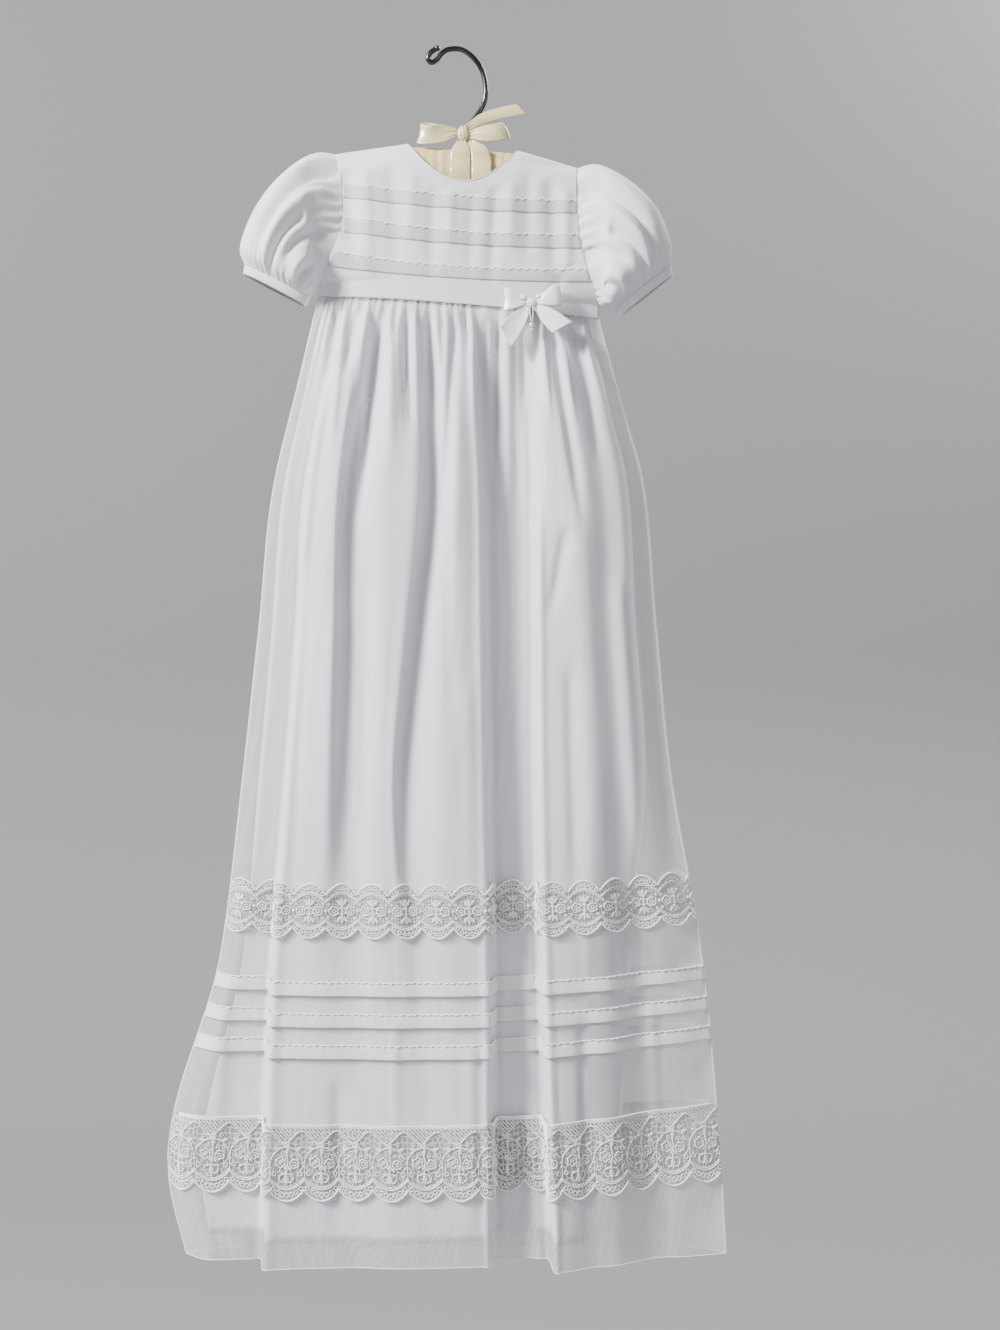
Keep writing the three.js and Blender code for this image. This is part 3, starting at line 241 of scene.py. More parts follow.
# Creases of a sleeve: place round it at the head and at the cuff as a share of a turn, the
# stretch from head (0) to cuff (1), width as a share of a turn, and height
SLEEVE_CREASES = np.array([
    (0.05, 0.07, 0.0, 0.62, 0.022, -3.6), (0.10, 0.11, 0.0, 0.5, 0.018, 2.4),
    (0.14, 0.18, 0.0, 0.82, 0.024, -4.6), (0.20, 0.22, 0.05, 0.95, 0.022, 2.8),
    (0.25, 0.24, 0.3, 1.0, 0.020, -4.0), (0.31, 0.29, 0.0, 0.75, 0.022, -3.8),
    (0.35, 0.33, 0.3, 1.0, 0.018, 2.6), (0.40, 0.38, 0.25, 1.0, 0.018, -3.0),
    (0.45, 0.44, 0.2, 0.9, 0.016, 1.6), (0.56, 0.57, 0.1, 0.9, 0.020, -2.6),
    (0.63, 0.62, 0.0, 0.7, 0.022, 2.2), (0.70, 0.69, 0.0, 0.9, 0.022, -3.2),
    (0.77, 0.78, 0.2, 1.0, 0.020, 2.2), (0.84, 0.82, 0.0, 0.6, 0.020, -2.8),
    (0.91, 0.92, 0.1, 0.9, 0.020, -2.4), (0.97, 0.98, 0.2, 1.0, 0.018, 1.8),
])

# The wire hook's route, and the rings of the padded body: place, half height, half thickness
# and how far its top lies below the shoulder line
HOOK_ROUTE = (
    (-16.1, 2.4), (-21.4, -1.8), (-22.6, -5.6), (-20.4, -8.4), (-16, -6.6), (-13, -2.6),
    (-8.6, 0.9), (-3, 2.1), (3, 1.6), (9.2, -1.8), (15, -7.4), (19.4, -14.6), (22, -24.6),
    (22.2, -34.6), (20, -42.5), (15.2, -50.4), (10, -58), (7.6, -66), (7, -76.7),
)
PAD_RINGS = np.array([
    (-96, 4.5, 3.4, 3.4), (-93, 8, 5.6, 3.4), (-80, 12, 7.8, 3.4), (-56, 16, 10.2, 3),
    (-28, 20, 12, 1.8), (4, 21, 12.4, 1.5), (36, 20, 12, 1.8), (62, 15.5, 9.8, 3.2),
    (80, 11, 6.8, 3.4), (90, 7.5, 4.6, 3.4), (92.6, 4, 2.6, 3.4),
])
HOOK_BOW = (5.0, -5.8, -66.0)
HOOK_WIRE, HOOK_TIP = 4.0, 2.25


class Held(Enum):
    """How a sheet of cloth is held."""

    GATHERED = "gathered"
    HUNG = "hung"
    LAID = "laid"
    FOLDED = "folded"
    STRETCHED = "stretched"


class Side(Enum):
    """The front of the gown, towards -Y, or its back."""

    FRONT = -1
    BACK = 1


# Curves and surfaces


def ease(share: Array) -> Array:
    """Goes softly from 0 to 1."""
    t = np.clip(share, 0, 1)
    return t * t * (3 - 2 * t)


def along(values: Array, knots: Array, places: Array) -> Array:
    """Follows a smooth curve through rows of values.

    Args:
        values: One row of numbers for each knot.
        knots: The rising place of each row.
        places: Where the curve is read.
    Returns:
        One row for each place.
    """
    slopes = np.empty_like(values, dtype=float)
    shape = (-1,) + (1,) * (values.ndim - 1)
    gaps = np.diff(knots).reshape(shape)
    steps = np.diff(values, axis=0) / gaps
    slopes[0], slopes[-1] = steps[0], steps[-1]
    slopes[1:-1] = (steps[:-1] * gaps[1:] + steps[1:] * gaps[:-1]) / (gaps[1:] + gaps[:-1])
    k = np.clip(np.searchsorted(knots, places, side="right") - 1, 0, len(knots) - 2)
    wide = (knots[k + 1] - knots[k]).reshape(shape)
    t = ((places - knots[k]) / (knots[k + 1] - knots[k])).reshape(shape)
    low, high = values[k], values[k + 1]
    rise = (1 - t) * slopes[k] * t * (1 - t) - t * slopes[k + 1] * t * (1 - t)
    return low + (high - low) * t * t * (3 - 2 * t) + wide * rise


def spread(values: Array, split: int) -> Array:
    """Splits each step between columns into equal smooth steps, along the second axis."""
    count = values.shape[1]
    places = np.linspace(0, count - 1, (count - 1) * split + 1)
    turned = np.swapaxes(values, 0, 1)
    return np.swapaxes(along(turned, np.arange(count, dtype=float), places), 0, 1)


def normals_of(points: Array, outward: float) -> Array:
    """The direction off a grid of points, on the side where y has the given sign.

    Args:
        points: Rows of points.
        outward: -1 for a front, 1 for a back.
    Returns:
        A unit vector for each point.
    """
    down = np.gradient(points, axis=0)
    across = np.gradient(points, axis=1)
    normals = np.cross(across, down)
    normals /= np.maximum(np.linalg.norm(normals, axis=2, keepdims=True), 1e-9)
    middle = normals[:, normals.shape[1] // 2, 1].mean()
    return normals * (1.0 if middle * outward > 0 else -1.0)


def creased(points: Array, creases: Array, outward: float, steep: float = 1.0) -> Array:
    """Adds creases along their own lines, each as much steeper on its shaded side as told."""
    x, z = points[..., 0], points[..., 2]
    moved = points.copy()
    for x0, z0, x1, z1, width, height in creases:
        share = np.clip((z - z0) / (z1 - z0), -0.2, 1.2)
        off = (x - (x0 + (x1 - x0) * share)) / width
        off = np.where(off * height > 0, off * steep, off)
        fade = ease(share / 0.12) * ease((1.0 - share) / 0.45)
        moved[..., 1] += outward * height * fade * np.exp(-off * off)
    return moved


def uneven(points: Array, height: float, outward: float) -> Array:
    """Gives flat cloth the slight waves of cloth that has hung, by a few long sines."""
    x, z = points[..., 0], points[..., 2]
    wave = (
        np.sin(x / 13.0 + z / 61.0 + 0.4) + 0.7 * np.sin(x / 23.0 - z / 47.0 + 1.9)
        + 0.5 * np.sin(x / 7.5 + z / 120.0 + 3.1) + 0.4 * np.sin(z / 19.0 + x / 31.0)
    )
    moved = points.copy()
    moved[..., 1] += outward * height * wave / 2.6
    return moved


@dataclass
class Surface:
    """Cloth as a fine grid of points in millimetres, on which other pieces are laid."""

    points: Array
    outward: float
    normals: Array = field(init=False)

    def __post_init__(self) -> None:
        """Works out the direction off the cloth at each point."""
        self.normals = normals_of(self.points, self.outward)

    def at(self, rows: Array, columns: Array, lift: Array | float) -> Array:
        """Finds points on the cloth, moved off it.

        Args:
            rows: Fractional row numbers.
            columns: Fractional column numbers.
            lift: How far each point stands off the cloth.
        Returns:
            One point for each row and column.
        """
        count_rows, count_columns = self.points.shape[:2]
        rows = np.clip(rows, 0, count_rows - 1.0001)
        columns = np.clip(columns, 0, count_columns - 1.0001)
        j, i = rows.astype(int), columns.astype(int)
        down, across = (rows - j)[..., None], (columns - i)[..., None]
        found = []
        for grid in (self.points, self.normals):
            top = grid[j, i] * (1 - across) + grid[j, i + 1] * across
            low = grid[j + 1, i] * (1 - across) + grid[j + 1, i + 1] * across
            found.append(top * (1 - down) + low * down)
        off = np.asarray(lift, dtype=float)
        return found[0] + found[1] * (off[..., None] if off.ndim else off)

    def lengths(self, row: float) -> Array:
        """The distance along a row from its first column to each column."""
        line = self.points[int(round(row))]
        steps = np.linalg.norm(np.diff(line, axis=0), axis=1)
        return np.concatenate([[0.0], np.cumsum(steps)])


# Meshes


def link(obj: bpy.types.Object) -> bpy.types.Object:
    """Puts an object into the scene."""
    bpy.context.scene.collection.objects.link(obj)
    return obj


def smooth_object(name: str, mesh: bpy.types.Mesh) -> bpy.types.Object:
    """Smooths the faces of a mesh and puts it into the scene."""
    mesh.polygons.foreach_set("use_smooth", np.ones(len(mesh.polygons), bool))
    mesh.update()
    return link(bpy.data.objects.new(name, mesh))


def object_of(name: str, bm: bmesh.types.BMesh) -> bpy.types.Object:
    """Puts a finished bmesh into the scene as a smooth object."""
    mesh = bpy.data.meshes.new(name)
    bm.to_mesh(mesh)
    bm.free()
    return smooth_object(name, mesh)


def cloth_mesh(name: str, points: Array, closed: bool = False) -> bpy.types.Object:
    """Makes a grid and lays it through rows of points, with a UV map in metres of cloth.

    Args:
        name: The piece's name.
        points: Rows of points in millimetres.
        closed: Whether the last column meets the first, as in a tube.
    Returns:
        The new object, with smooth faces.
    """
    rows, columns = points.shape[:2]
    bm = bmesh.new()
    bmesh.ops.create_grid(bm, x_segments=columns - 1, y_segments=rows - 1, size=0.5)
    mesh = bpy.data.meshes.new(name)
    bm.to_mesh(mesh)
    bm.free()
    flat = np.empty(len(mesh.vertices) * 3, np.float32)
    mesh.vertices.foreach_get("co", flat)
    flat = flat.reshape(-1, 3)
    i = np.rint((flat[:, 0] + 0.5) * (columns - 1)).astype(int)
    j = rows - 1 - np.rint((flat[:, 1] + 0.5) * (rows - 1)).astype(int)
    mesh.vertices.foreach_set("co", (points[j, i] * MM).astype(np.float32).ravel())
    steps_u = np.linalg.norm(np.diff(points, axis=1), axis=2).mean(axis=0)
    steps_v = np.linalg.norm(np.diff(points, axis=0), axis=2).mean(axis=1)
    u = np.concatenate([[0.0], np.cumsum(steps_u)]) * MM
    v = -np.concatenate([[0.0], np.cumsum(steps_v)]) * MM
    corners = np.empty(len(mesh.loops), np.int32)
    mesh.loops.foreach_get("vertex_index", corners)
    layer = mesh.uv_layers.new(name="cloth")
    layer.data.foreach_set(
        "uv", np.stack([u[i[corners]], v[j[corners]]], axis=1).astype(np.float32).ravel())
    if closed:
        merge_close(mesh)
    return smooth_object(name, mesh)


def merge_close(mesh: bpy.types.Mesh) -> None:
    """Joins points that lie on each other and turns the faces outwards."""
    bm = bmesh.new()
    bm.from_mesh(mesh)
    bmesh.ops.remove_doubles(bm, verts=bm.verts, dist=1e-6)
    bmesh.ops.recalc_face_normals(bm, faces=bm.faces)
    bm.to_mesh(mesh)
    bm.free()


def face_out(obj: bpy.types.Object, normals: Array) -> None:
    """Turns a cloth's faces to the side on which its normals stand."""
    mesh = obj.data
    middle = mesh.polygons[len(mesh.polygons) // 2 + 3]
    here = np.array(middle.normal)
    wanted = normals[normals.shape[0] // 2, normals.shape[1] // 2]
    if float(here @ wanted) < 0:
        mesh.flip_normals()


def thicken(obj: bpy.types.Object, thickness: float, offset: float = 0.0) -> None:
    """Gives a cloth its thickness, in millimetres."""
    solid = obj.modifiers.new("thickness", "SOLIDIFY")
    solid.thickness = thickness * MM
    solid.offset = offset
    solid.use_rim = True


def tube_mesh(name: str, lines: Iterable[tuple[Array, Array | float]],
              roundness: int = 0) -> bpy.types.Mesh:
    """Makes many tubes as one mesh.

    Args:
        name: The mesh's name.
        lines: For each tube, its points in millimetres and its radius there.
        roundness: Blender's bevel resolution; 0 makes four sides.
    Returns:
        The new mesh.
    """
    curve = bpy.data.curves.new(name, "CURVE")
    curve.dimensions = "3D"
    curve.bevel_depth = 1.0
    curve.bevel_resolution = roundness
    curve.use_fill_caps = True
    for points, radius in lines:
        spline = curve.splines.new("POLY")
        spline.points.add(len(points) - 1)
        four = np.concatenate([points * MM, np.ones((len(points), 1))], axis=1)
        spline.points.foreach_set("co", four.astype(np.float32).ravel())
        wide = np.broadcast_to(np.asarray(radius, dtype=np.float32) * MM, (len(points),))
        spline.points.foreach_set("radius", np.ascontiguousarray(wide, dtype=np.float32))
    route = link(bpy.data.objects.new(name + "_route", curve))
    shown = route.evaluated_get(bpy.context.evaluated_depsgraph_get())
    mesh = bpy.data.meshes.new_from_object(shown)
    mesh.name = name
    mesh.materials.clear()
    bpy.data.objects.remove(route)
    bpy.data.curves.remove(curve)
    return mesh


def smooth_line(points: Sequence[Sequence[float]], steps: int) -> Array:
    """A smooth curve through a few points, by their distance from each other."""
    stops = np.array(points, dtype=float)
    far = np.concatenate([[0.0], np.cumsum(np.linalg.norm(np.diff(stops, axis=0), axis=1))])
    return along(stops, far, np.linspace(0, far[-1], steps + 1))


def away(ring: Array) -> Array:
    """The direction from the middle of a closed ring, or of each of its rings, to each point."""
    out = ring - ring[..., :-1, :].mean(axis=-2, keepdims=True)
    return out / np.maximum(np.linalg.norm(out, axis=-1, keepdims=True), 1e-6)


# Finishes


WAVE_TURN = 6.28


class Painter:
    """Adds shader nodes to a new material."""

    def __init__(self, name: str) -> None:
        """Starts a material with only its output and its shader."""
        self.material = bpy.data.materials.new(name)
        self.material.use_nodes = True
        self.nodes = self.material.node_tree.nodes
        self.links = self.material.node_tree.links
        self.shader = self.nodes["Principled BSDF"]

    def add(self, kind: str, inputs: Optional[dict] = None, **settings: object) -> bpy.types.Node:
        """Adds a node.

        Args:
            kind: The node's type name without its prefix.
            inputs: Values or output sockets by input name or number.
            settings: Attributes of the node.
        Returns:
            The node.
        """
        node = self.nodes.new("ShaderNode" + kind)
        for key, value in settings.items():
            setattr(node, key, value)
        for key, value in (inputs or {}).items():
            socket = node.inputs[key]
            if isinstance(value, bpy.types.NodeSocket):
                self.links.new(value, socket)
            else:
                socket.default_value = value
        return node

    def maths(self, how: str, first: object, second: object = 0.0) -> bpy.types.NodeSocket:
        """One sum on two numbers or sockets."""
        return self.add("Math", {0: first, 1: second}, operation=how).outputs[0]

    def blend(self, first: object, second: object, share: float) -> bpy.types.NodeSocket:
        """A share of the first value and the rest of the second."""
        return self.maths("ADD", self.maths("MULTIPLY", first, share),
                          self.maths("MULTIPLY", second, round(1 - share, 3)))

    def between(self, share: object, low: object, high: object) -> bpy.types.NodeSocket:
        """A value that goes from low to high with share."""
        node = self.add("MapRange", {"Value": share, "To Min": low, "To Max": high})
        return node.outputs["Result"]

    def tint(self, share: object, dark: Sequence[float], light: Sequence[float]) -> object:
        """A colour that goes from dark to light with share."""
        node = self.add("Mix", {"Factor": share}, data_type="RGBA", clamp_factor=True)
        node.inputs[6].default_value = (*dark, 1)
        node.inputs[7].default_value = (*light, 1)
        return node.outputs[2]

    def place(self, scale: Sequence[float], turn: float = 0.0, uv: bool = True) -> object:
        """Pattern coordinates: metres of cloth, or of the object, times a scale."""
        if uv:
            source = self.add("UVMap", uv_map="cloth").outputs["UV"]
        else:
            source = self.add("TexCoord").outputs["Object"]
        node = self.add("Mapping", {"Vector": source, "Scale": scale, "Rotation": (0, 0, turn)})
        return node.outputs["Vector"]

    def noise(self, where: object, scale: float, detail: float = 2.0) -> object:
        """Soft noise from 0 to 1."""
        node = self.add("TexNoise", {"Vector": where, "Scale": scale, "Detail": detail})
        return node.outputs["Fac"]

    def wave(self, where: object, scale: float, direction: str, distortion: float = 0.0,
             bend: float = 1.0) -> object:
        """Parallel ridges from 0 to 1, bent by noise at a share of their scale."""
        node = self.add(
            "TexWave", {"Vector": where, "Scale": scale, "Distortion": distortion,
                        "Detail": 1.0, "Detail Scale": bend},
            bands_direction=direction)
        return node.outputs["Fac"]

    def bump(self, height: object, strength: float, depth: float, under: object = None) -> object:
        """Raises the surface by a height, over an earlier bump if there is one."""
        values = {"Height": height, "Strength": strength, "Distance": depth * MM}
        if under is not None:
            values["Normal"] = under
        return self.add("Bump", values).outputs["Normal"]

    def finish(self, **sockets: object) -> bpy.types.Material:
        """Sets the shader's own sockets, spaces in their names written as underscores."""
        for key, value in sockets.items():
            socket = self.shader.inputs[key.replace("_", " ")]
            if isinstance(value, bpy.types.NodeSocket):
                self.links.new(value, socket)
            else:
                socket.default_value = value
        return self.material


@dataclass(frozen=True)
class WovenCotton:
    """A fine plain weave: crossing threads, faint slubs and soft shade."""

    name: str
    light: tuple[float, float, float]
    dark: tuple[float, float, float]
    threads_per_metre: float = 2600.0

    def make(self) -> bpy.types.Material:
        """Builds the material."""
        p = Painter(self.name)
        where = p.place((1, 1, 1))
        fine = self.threads_per_metre / WAVE_TURN
        weft = p.wave(where, fine, "Y", 1.2)
        warp = p.wave(where, fine, "X", 1.2)
        weave = p.maths("MULTIPLY", weft, warp)
        slub = p.noise(p.place((60, 900, 60)), 1.0, 3.0)
        cloud = p.noise(where, 22.0, 3.0)
        shade = p.blend(cloud, slub, 0.55)
        colour = p.tint(shade, self.dark, self.light)
        rumple = p.bump(p.noise(where, 95.0, 3.0), 0.25, 0.8)
        normal = p.bump(p.maths("ADD", weave, p.maths("MULTIPLY", slub, 0.6)), 0.35, 0.12, rumple)
        rough = p.between(weave, 0.86, 0.76)
        return p.finish(
            Base_Color=colour, Roughness=rough, Normal=normal, Sheen_Weight=0.25,
            Sheen_Roughness=0.45, Specular_IOR_Level=0.25)


@dataclass(frozen=True)
class SheerOrganza:
    """A see-through weave with a crisp sheen and the moire of one layer over another."""

    name: str
    cover: float
    light: tuple[float, float, float] = (0.86, 0.86, 0.895)
    dark: tuple[float, float, float] = (0.75, 0.75, 0.80)
    hem_moire: float = 0.10

    def make(self) -> bpy.types.Material:
        """Builds the material."""
        p = Painter(self.name)
        where = p.place((1, 1, 1))
        weft = p.wave(where, 330.0, "Y", 0.6)
        warp = p.wave(where, 330.0, "X", 0.6)
        weave = p.maths("MAXIMUM", weft, warp)
        moire = p.wave(p.place((1, 0.25, 1), 0.3), 26.0, "X", 9.0)
        cloud = p.noise(where, 16.0, 2.0)
        low = p.add("SeparateXYZ", {"Vector": where}).outputs["Y"]
        hem = p.add("MapRange", {"Value": low, "From Min": -0.655, "From Max": -0.70,
                                 "To Min": 0.0, "To Max": self.hem_moire}).outputs["Result"]
        grain = p.wave(p.place((1, 0.45, 1), 0.5), 78.0, "X", 30.0, 0.36)
        cover = p.between(p.blend(weave, moire, 0.7), self.cover - 0.06, self.cover + 0.06)
        cover = p.maths("ADD", cover, p.maths("MULTIPLY", grain, hem))
        colour = p.tint(p.blend(cloud, moire, 0.7), self.dark, self.light)
        normal = p.bump(weave, 0.25, 0.1, p.bump(p.noise(where, 70.0, 3.0), 0.18, 0.7))
        return p.finish(
            Base_Color=colour, Roughness=0.55, Normal=normal, Alpha=cover, Sheen_Weight=0.3,
            Sheen_Roughness=0.35, Specular_IOR_Level=0.4)


@dataclass(frozen=True)
class NetGround:
    """The fine net of a lace: rounded meshes, with the gaps between them tinted dark grey and part
    covered as painted shade.
    """

    name: str
    mesh_mm: float
    thread_mm: float
    light: tuple[float, float, float] = (0.93, 0.92, 0.87)
    # The dark tint and the cover of the gaps are painted shade seen through the net, not the net's
    # colour.
    dark: tuple[float, float, float] = (0.31, 0.315, 0.31)
    shaded_gap_cover: float = 0.42

    def make(self) -> bpy.types.Material:
        """Builds the material."""
        p = Painter(self.name)
        cells = p.add(
            "TexVoronoi", {"Vector": p.place((1, 1, 1)), "Scale": 1000.0 / self.mesh_mm,
                           "Randomness": 0.6},
            feature="DISTANCE_TO_EDGE", voronoi_dimensions="2D")
        half = self.thread_mm / self.mesh_mm / 2
        thread = p.add(
            "MapRange", {"Value": cells.outputs["Distance"], "From Min": half * 0.8,
                         "From Max": half * 1.3, "To Min": 1.0, "To Max": 0.0}).outputs["Result"]
        # Threads get the light tint; the gaps get the dark tint and part cover as painted shade.
        return p.finish(
            Base_Color=p.tint(thread, self.dark, self.light), Roughness=0.7,
            Normal=p.bump(thread, 0.6, 0.3), Alpha=p.between(thread, self.shaded_gap_cover, 0.97),
            Sheen_Weight=0.15)


@dataclass(frozen=True)
class LaceThread:
    """Off-white embroidery thread with a slight gloss and its twist."""

    name: str
    light: tuple[float, float, float] = (1.0, 0.99, 0.945)
    dark: tuple[float, float, float] = (0.93, 0.92, 0.87)

    def make(self) -> bpy.types.Material:
        """Builds the material."""
        p = Painter(self.name)
        where = p.place((1, 1, 1), uv=False)
        twist = p.wave(p.place((1, 0.3, 1), 0.6, uv=False), 420.0, "DIAGONAL", 2.0)
        cloud = p.noise(where, 130.0, 3.0)
        shade = p.blend(cloud, twist, 0.6)
        return p.finish(
            Base_Color=p.tint(shade, self.dark, self.light), Roughness=0.6,
            Normal=p.bump(twist, 0.4, 0.15), Sheen_Weight=0.2, Specular_IOR_Level=0.35)


@dataclass(frozen=True)
class Satin:
    """Satin ribbon: fine floats across, long streaks and a soft gloss."""

    name: str
    light: tuple[float, float, float]
    dark: tuple[float, float, float]

    def make(self) -> bpy.types.Material:
        """Builds the material."""
        p = Painter(self.name)
        where = p.place((1, 1, 1))
        floats = p.wave(where, 500.0, "X", 0.8)
        streak = p.noise(p.place((1500, 60, 1)), 1.0, 2.0)
        cloud = p.noise(where, 60.0, 3.0)
        shade = p.blend(cloud, streak, 0.6)
        normal = p.bump(floats, 0.25, 0.08, p.bump(cloud, 0.3, 0.5))
        return p.finish(
            Base_Color=p.tint(shade, self.dark, self.light), Normal=normal,
            Roughness=p.between(streak, 0.22, 0.34), Sheen_Weight=0.15, Sheen_Roughness=0.3,
            Specular_IOR_Level=0.9, Anisotropic=0.5, Coat_Weight=0.25, Coat_Roughness=0.22)


@dataclass(frozen=True)
class QuiltedSateen:
    """The cream sateen round the hanger: fine twill lines over small puckers."""

    name: str
    light: tuple[float, float, float] = (0.81, 0.66, 0.345)
    dark: tuple[float, float, float] = (0.58, 0.445, 0.195)

    def make(self) -> bpy.types.Material:
        """Builds the material."""
        p = Painter(self.name)
        where = p.place((1, 1, 1))
        twill = p.wave(p.place((1, 1, 1), 0.9), 380.0, "X", 0.8)
        pucker = p.noise(p.place((420, 90, 1)), 1.0, 3.0)
        cloud = p.noise(where, 50.0, 3.0)
        shade = p.blend(cloud, pucker, 0.5)
        normal = p.bump(twill, 0.3, 0.1, p.bump(pucker, 0.6, 0.8))
        return p.finish(
            Base_Color=p.tint(shade, self.dark, self.light), Roughness=0.5, Normal=normal,
            Sheen_Weight=0.3, Sheen_Roughness=0.4, Specular_IOR_Level=0.45)


@dataclass(frozen=True)
class PlatedWire:
    """Dark bright-plated steel wire with drawing lines and a few dull spots."""

    name: str

    def make(self) -> bpy.types.Material:
        """Builds the material."""
        p = Painter(self.name)
        where = p.place((1, 1, 1), uv=False)
        drawn = p.noise(p.place((40, 900, 40), uv=False), 1.0, 3.0)
        spots = p.noise(where, 160.0, 4.0)
        colour = p.tint(spots, (0.05, 0.046, 0.042), (0.13, 0.122, 0.11))
        return p.finish(
            Base_Color=colour, Metallic=1.0, Roughness=p.between(spots, 0.16, 0.34),
            Normal=p.bump(drawn, 0.12, 0.05))


@dataclass(frozen=True)
class Pearl:
    """A moulded pearl with a soft coat."""

    name: str
    light: tuple[float, float, float] = (0.91, 0.90, 0.87)
    dark: tuple[float, float, float] = (0.80, 0.78, 0.75)

    def make(self) -> bpy.types.Material:
        """Builds the material."""
        p = Painter(self.name)
        cloud = p.noise(p.place((1, 1, 1), uv=False), 240.0, 3.0)
        return p.finish(
            Base_Color=p.tint(cloud, self.dark, self.light), Roughness=p.between(cloud, 0.14, 0.24),
            Normal=p.bump(cloud, 0.08, 0.1), Coat_Weight=0.5, Coat_Roughness=0.08,
            Sheen_Weight=0.2, Specular_IOR_Level=0.6)


@dataclass(frozen=True)
class StudioPaper:
    """Plain pale paper behind and under the gown."""

    name: str

    def make(self) -> bpy.types.Material:
        """Builds the material."""
        p = Painter(self.name)
        grain = p.noise(p.place((1, 1, 1), uv=False), 260.0, 3.0)
        return p.finish(
            Base_Color=p.tint(grain, (0.235, 0.235, 0.24), (0.26, 0.26, 0.265)), Roughness=0.9,
            Normal=p.bump(grain, 0.1, 0.2), Specular_IOR_Level=0.2)


@dataclass
class Finishes:
    """Every material of the scene, made once."""

    cotton: bpy.types.Material
    tucked: bpy.types.Material
    lining: bpy.types.Material
    organza: bpy.types.Material
    doubled: bpy.types.Material
    net: bpy.types.Material
    wide_net: bpy.types.Material
    lace: bpy.types.Material
    stitch: bpy.types.Material
    seam: bpy.types.Material
    satin: bpy.types.Material
    ivory: bpy.types.Material
    sateen: bpy.types.Material
    wire: bpy.types.Material
    pearl: bpy.types.Material
    paper: bpy.types.Material

    @classmethod
    def make(cls) -> "Finishes":
        """Builds all of them."""
        return cls(
            cotton=WovenCotton("woven_cotton", (0.865, 0.865, 0.90), (0.78, 0.78, 0.825)).make(),
            # The tucks' cotton is the bodice cotton painted darker: painted shade on the tuck
            # bands.
            tucked=WovenCotton("tucked_cotton", (0.66, 0.66, 0.70), (0.59, 0.59, 0.635)).make(),
            lining=WovenCotton("lining_cotton", (0.86, 0.86, 0.895), (0.79, 0.79, 0.83)).make(),
            organza=SheerOrganza("sheer_organza", 0.35).make(),
            doubled=SheerOrganza("doubled_organza", 0.74, (0.95, 0.95, 0.96),
                                 (0.88, 0.88, 0.895), 0.0).make(),
            net=NetGround("fine_net", 2.5, 0.38).make(),
            wide_net=NetGround("open_net", 4.4, 0.55).make(),
            lace=LaceThread("lace_thread").make(),
            stitch=LaceThread("sewing_thread", (1.0, 1.0, 1.0), (0.93, 0.93, 0.95)).make(),
            seam=LaceThread("rolled_cotton", (0.865, 0.865, 0.90), (0.78, 0.78, 0.825)).make(),
            satin=Satin("white_satin", (1.0, 1.0, 1.0), (0.90, 0.90, 0.915)).make(),
            ivory=Satin("ivory_satin", (0.84, 0.745, 0.42), (0.60, 0.505, 0.24)).make(),
            sateen=QuiltedSateen("quilted_sateen").make(),
            wire=PlatedWire("plated_wire").make(),
            pearl=Pearl("moulded_pearl").make(),
            paper=StudioPaper("studio_paper").make(),
        )


def dress(obj: bpy.types.Object, material: bpy.types.Material,
          nodes: Sequence[str] = ()) -> bpy.types.Object:
    """Gives a piece its material, its body and the solids it stands for."""
    obj.data.materials.clear()
    obj.data.materials.append(material)
    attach(obj, "root")
    if nodes:
        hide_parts(*nodes)
    return obj


def cut(name: str, points: Array, material: bpy.types.Material,
        nodes: Sequence[str] = (), thickness: float = 0.0,
        normals: Optional[Array] = None, closed: bool = False) -> bpy.types.Object:
    """Makes a dressed cloth.

    Args:
        name: The piece's name.
        points: Rows of points in millimetres.
        material: The cloth's finish.
        nodes: The solids that the piece stands for.
        thickness: Millimetres, or 0 for a bare sheet.
        normals: The directions off its outer side, where faces have to be turned.
        closed: Whether it is a tube.
    Returns:
        The piece.
    """
    piece = cloth_mesh(name, points, closed)
    if normals is not None:
        face_out(piece, normals)
    if thickness:
        thicken(piece, thickness)
    return dress(piece, material, nodes)


def sew(name: str, lines: Iterable[tuple[Array, Array | float]],
        material: bpy.types.Material) -> None:
    """Makes dressed threads: for each, its points in millimetres and its radius."""
    dress(smooth_object(name, tube_mesh(name, lines)), material)


# The bodice


def edge_x(edge: Array, z: Array) -> Array:
    """The place across of an edge at a height."""
    return np.interp(-np.asarray(z), -edge[:, 1], edge[:, 0])


def shoulder_z(x: Array) -> Array:
    """The height of the shoulder line, which runs level from neck corner to neck corner."""
    stops = np.array([SHOULDER_LEFT, NECK_LEFT, NECK_RIGHT, SHOULDER_RIGHT])
    return np.interp(x, stops[:, 0], stops[:, 1])


def shoulder_rise(drop: Array) -> Array:
    """A quarter of an ellipse from the shoulder seam down over the padded hanger."""
    return np.sqrt(1 - (1 - np.clip(drop / SHOULDER_ROUND, 0, 1)) ** 2)


def armhole_depth(z: Array, top: float, underarm: float) -> Array:
    """How far the armhole's edge stands out at a height."""
    low = np.sqrt(np.clip((z - underarm) / ARMHOLE_ROUND, 0, 1))
    return np.maximum(SIDE_SEAM_Y, ARMHOLE_DEPTH * shoulder_rise(top - z) * low)


def bodice_depth(share: Array, x: Array, z: Array, crown: float) -> Array:
    """How far the bodice stands out at a share of the way across."""
    left = armhole_depth(z, SHOULDER_LEFT[1], UNDERARM_LEFT)
    right = armhole_depth(z, SHOULDER_RIGHT[1], UNDERARM_RIGHT)
    edge = left + (right - left) * share
    swell = 1 - np.abs(2 * share - 1) ** CROWN_POWER
    low = np.minimum(edge, crown)
    depth = low + (crown * shoulder_rise(shoulder_z(x) - z) - low) * swell
    return np.maximum(SIDE_SEAM_Y, depth)


